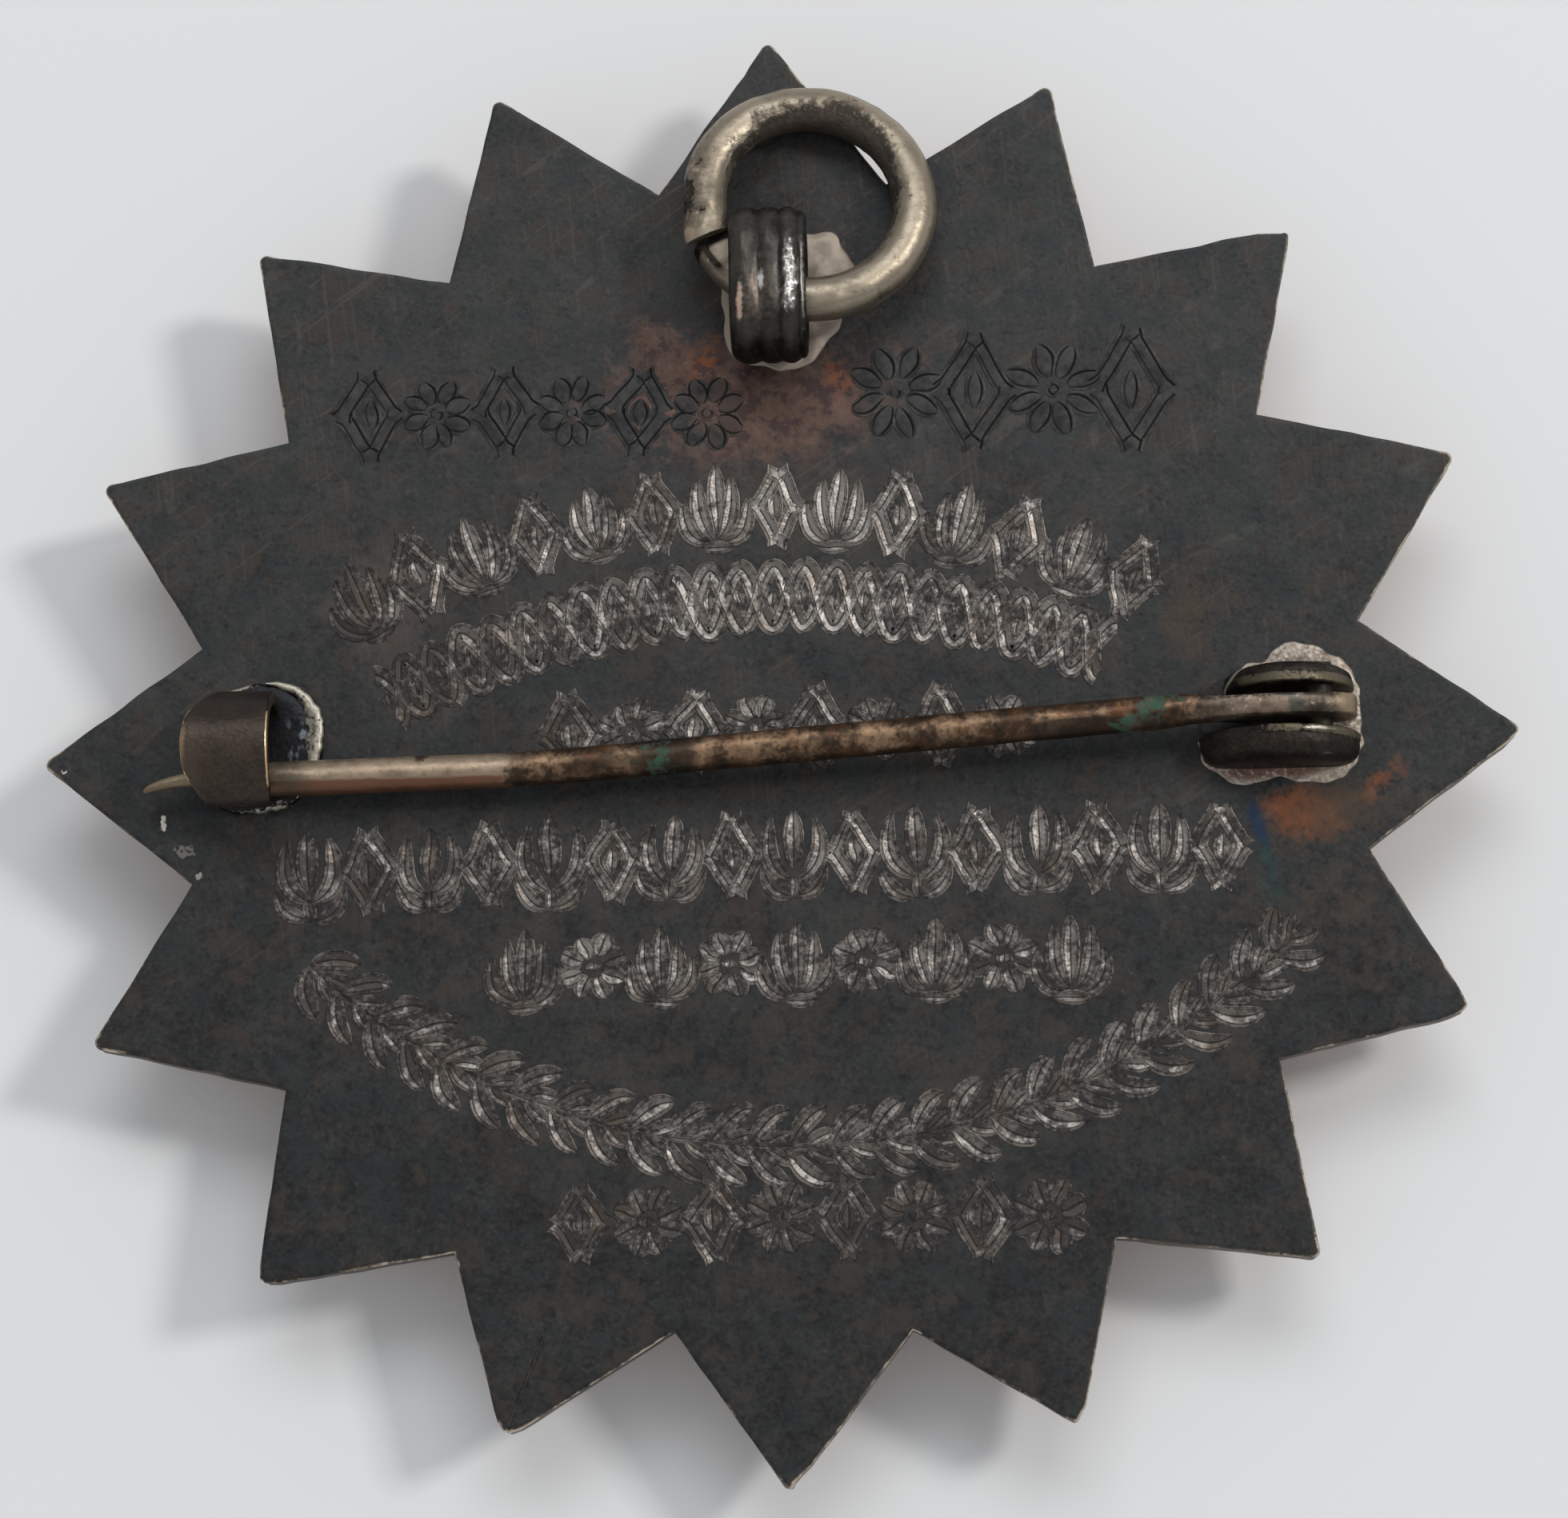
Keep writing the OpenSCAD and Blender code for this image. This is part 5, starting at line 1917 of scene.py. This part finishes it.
    def dented(self, run: Array, around: Array, rough: Array) -> tuple[Array, Array]:
        """Adds the dents to a fine roughness.

        Args:
            run: Distance from the lower end, in mm, one row a loop.
            around: Turn round the wire of each point of a loop.
            rough: Share of the radius that is missing before the dents.

        Returns:
            Share of the radius that is missing, and how dark each point is.
        """
        dark = np.zeros_like(rough)
        for at, angle, reach, deep, shade in self.dents:
            arc = (around - math.radians(angle) + np.pi) % (2 * np.pi) - np.pi
            hit = bump_at(run, arc[None] * self.wire, (at, 0), reach)
            rough = rough + deep * hit
            dark = dark + shade * hit
        return rough, dark


@dataclass
class Pin:
    """The brooch pin: a wire flattened to a blade at the hinge, slightly kinked, with a bent tapered point."""

    # Stations from the point to the blade: x, y, height over the back, half-thickness in Y, half-height in Z,
    # and squareness of the section, 0 round to 1 square
    stations: Table = (
        (-19.8, -1.07, 0.95, 0.06, 0.06, 0.0),
        (-19.7, -1.03, 0.96, 0.11, 0.11, 0.0),
        (-19.2, -0.88, 0.97, 0.18, 0.18, 0.0),
        (-18.6, -0.77, 0.99, 0.215, 0.215, 0.0),
        (-18.1, -0.73, 1.00, 0.25, 0.25, 0.0),
        (-16.8, -0.78, 1.02, 0.42, 0.42, 0.0),
        (-15.5, -0.80, 1.04, 0.555, 0.555, 0.0),
        (-12.0, -0.76, 1.09, 0.555, 0.555, 0.0),
        (-8.6, -0.71, 1.14, 0.54, 0.54, 0.0),
        (-7.6, -0.675, 1.16, 0.55, 0.55, 0.0),
        (-2.0, -0.33, 1.28, 0.56, 0.56, 0.0),
        (4.0, 0.045, 1.42, 0.555, 0.555, 0.0),
        (9.0, 0.356, 1.53, 0.555, 0.555, 0.0),
        (11.6, 0.52, 1.59, 0.55, 0.555, 0.05),
        (12.9, 0.60, 1.60, 0.46, 0.57, 0.3),
        (13.6, 0.61, 1.53, 0.38, 0.68, 0.7),
        (14.3, 0.61, 1.45, 0.36, 0.86, 0.9),
        (15.4, 0.61, 1.34, 0.36, 1.08, 1.0),
        (16.75, 0.61, 1.30, 0.36, 1.17, 1.0),
        (17.2, 0.61, 1.30, 0.36, 1.08, 1.0),
        (17.55, 0.61, 1.30, 0.355, 0.88, 1.0),
        (17.8, 0.61, 1.30, 0.34, 0.57, 1.0),
        (17.9, 0.61, 1.30, 0.30, 0.34, 1.0),
    )

    def build(self) -> bpy.types.Object:
        """Carries a section along the stations: a circle that turns into a rounded oblong as it becomes blade.

        Between stations every number runs on the monotone cubic through them; small ripples dent the wire.
        """
        table = np.array(self.stations)
        point, wire, blade = np.linspace(-19.8, -15, 50), np.linspace(-15, 12.4, 150), np.linspace(12.5, 17.9, 60)
        x = np.concatenate([point[:-1], wire, blade])
        y, z, half_y, half_z, square = (glide(table[:, 0], table[:, k], x) for k in range(1, 6))
        b = np.linspace(0, 2 * np.pi, 29)[:-1]
        cos, sin = np.cos(b)[None], np.sin(b)[None]
        power = (1 - 0.62 * square.clip(0, 1))[:, None]
        across = np.sign(cos) * np.abs(cos) ** power
        up = np.sign(sin) * np.abs(sin) ** power
        dent = 1 - 0.03 * np.abs(ripple(x[:, None] * 1.2, b[None] * 0.9, 2.4, 95))
        dent = dent - 0.05 * bump_at(x[:, None], b[None] * 0.5, (-8.5, 0.8), 0.5)
        grid = np.stack(
            [
                np.broadcast_to(x[:, None], dent.shape),
                y[:, None] + half_y[:, None] * across * dent,
                BACK + z[:, None] + half_z[:, None] * up * dent,
            ],
            -1,
        )
        skin = Skin(("blade",))
        skin.add(grid, blade=ease(x, 12.6, 13.6)[:, None])
        return skin.make("pin_wire", PinBronze().build(), 60)


@dataclass(frozen=True)
class Lamp:
    """A soft square or oblong light that looks at the star: its size and distance are in mm."""

    name: str
    towards: tuple[float, float, float]
    size: Place
    watts: float
    tint: Colour
    away: float = 900.0

    def build(self) -> None:
        """Hangs it in its direction from the star."""
        data = bpy.data.lights.new(self.name, "AREA")
        data.shape, data.size, data.size_y = "RECTANGLE", self.size[0] * MM, self.size[1] * MM
        data.energy, data.color = self.watts, self.tint
        made = linked(self.name, data)
        way = Vector(self.towards).normalized()
        made.location = way * self.away * MM
        made.rotation_euler = way.to_track_quat("Z", "Y").to_euler()


@dataclass
class Studio:
    """Camera, floor and lights."""

    camera_at: tuple[float, float, float] = (5.2287, -26.8237, 151.289)
    camera_x: tuple[float, float, float] = (0.99913921, -0.01755287, -0.03758639)
    camera_y: tuple[float, float, float] = (0.02390044, 0.98414728, 0.17573534)
    camera_z: tuple[float, float, float] = (0.03390589, -0.1764824, 0.98371965)
    lens: float = 110.204
    film: float = 36.0
    # Nearest and farthest that the camera sees, in metres
    sight: Place = (0.01, 10.0)
    paper: float = 1800.0
    air: Colour = (0.96, 0.98, 1.0)
    air_strength: float = 0.48
    lamps: tuple[Lamp, ...] = (
        Lamp("key", (0.70, 0.26, 0.72), (150, 150), 2.9, (1.0, 0.98, 0.95)),
        Lamp("sky", (0.05, 0.62, 0.85), (620, 350), 2.3, (0.95, 0.97, 1.0)),
    )

    def camera(self) -> None:
        """Sets the camera that was fitted to the star's points."""
        data = bpy.data.cameras.new("camera")
        data.lens, data.sensor_width = self.lens, self.film
        data.clip_start, data.clip_end = self.sight
        made = linked("camera", data)
        turn = Matrix((self.camera_x, self.camera_y, self.camera_z)).transposed()
        made.matrix_world = Matrix.Translation(Vector(self.camera_at) * MM) @ turn.to_4x4()
        bpy.context.scene.camera = made

    def floor(self) -> None:
        """Lays the sheet of paper: one flat square under the star."""
        half = self.paper / 2 * MM
        mesh = bpy.data.meshes.new("paper")
        mesh.from_pydata([(-half, -half, 0), (half, -half, 0), (half, half, 0), (-half, half, 0)], [], [(0, 1, 2, 3)])
        mesh.materials.append(Paper().build())
        linked("paper", mesh)

    def build(self) -> None:
        """Sets up everything round the jewel."""
        self.camera()
        self.floor()
        world = bpy.data.worlds.new("studio")
        world.use_nodes = True
        back = world.node_tree.nodes["Background"]
        back.inputs["Color"].default_value = (*self.air, 1.0)
        back.inputs["Strength"].default_value = self.air_strength
        bpy.context.scene.world = world
        bpy.context.scene.view_settings.view_transform = "Standard"
        for lamp in self.lamps:
            lamp.build()


def main() -> None:
    """Builds the dressed jewel, piece by piece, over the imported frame."""
    logging.basicConfig(level=logging.INFO, format="%(name)s: %(message)s")
    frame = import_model()
    Studio().build()
    engraving = Engraving()
    fixed = engraving.build()
    fixed.append(Star().build(engraving.places))
    for part in (Bail(), Hinge(), Catch(), BAIL_SOLDER, HINGE_SOLDER):
        fixed.append(part.build())
    for piece in fixed:
        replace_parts(piece, "star_plate")
        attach(piece, "star")
    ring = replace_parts(JumpRing().build(), "jump_ring")
    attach(ring, "ring")
    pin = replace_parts(Pin().build(), "pin_stem")
    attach(pin, "pin")
    rivet = frame["nodes"]["hinge_rivet"]
    rivet.data.materials.clear()
    rivet.data.materials.append(RivetBronze().build())
    for piece in [*fixed, ring, pin, rivet]:
        log.info("%s: %d faces", piece.name, len(piece.data.polygons))


if __name__ == "__main__":
    main()
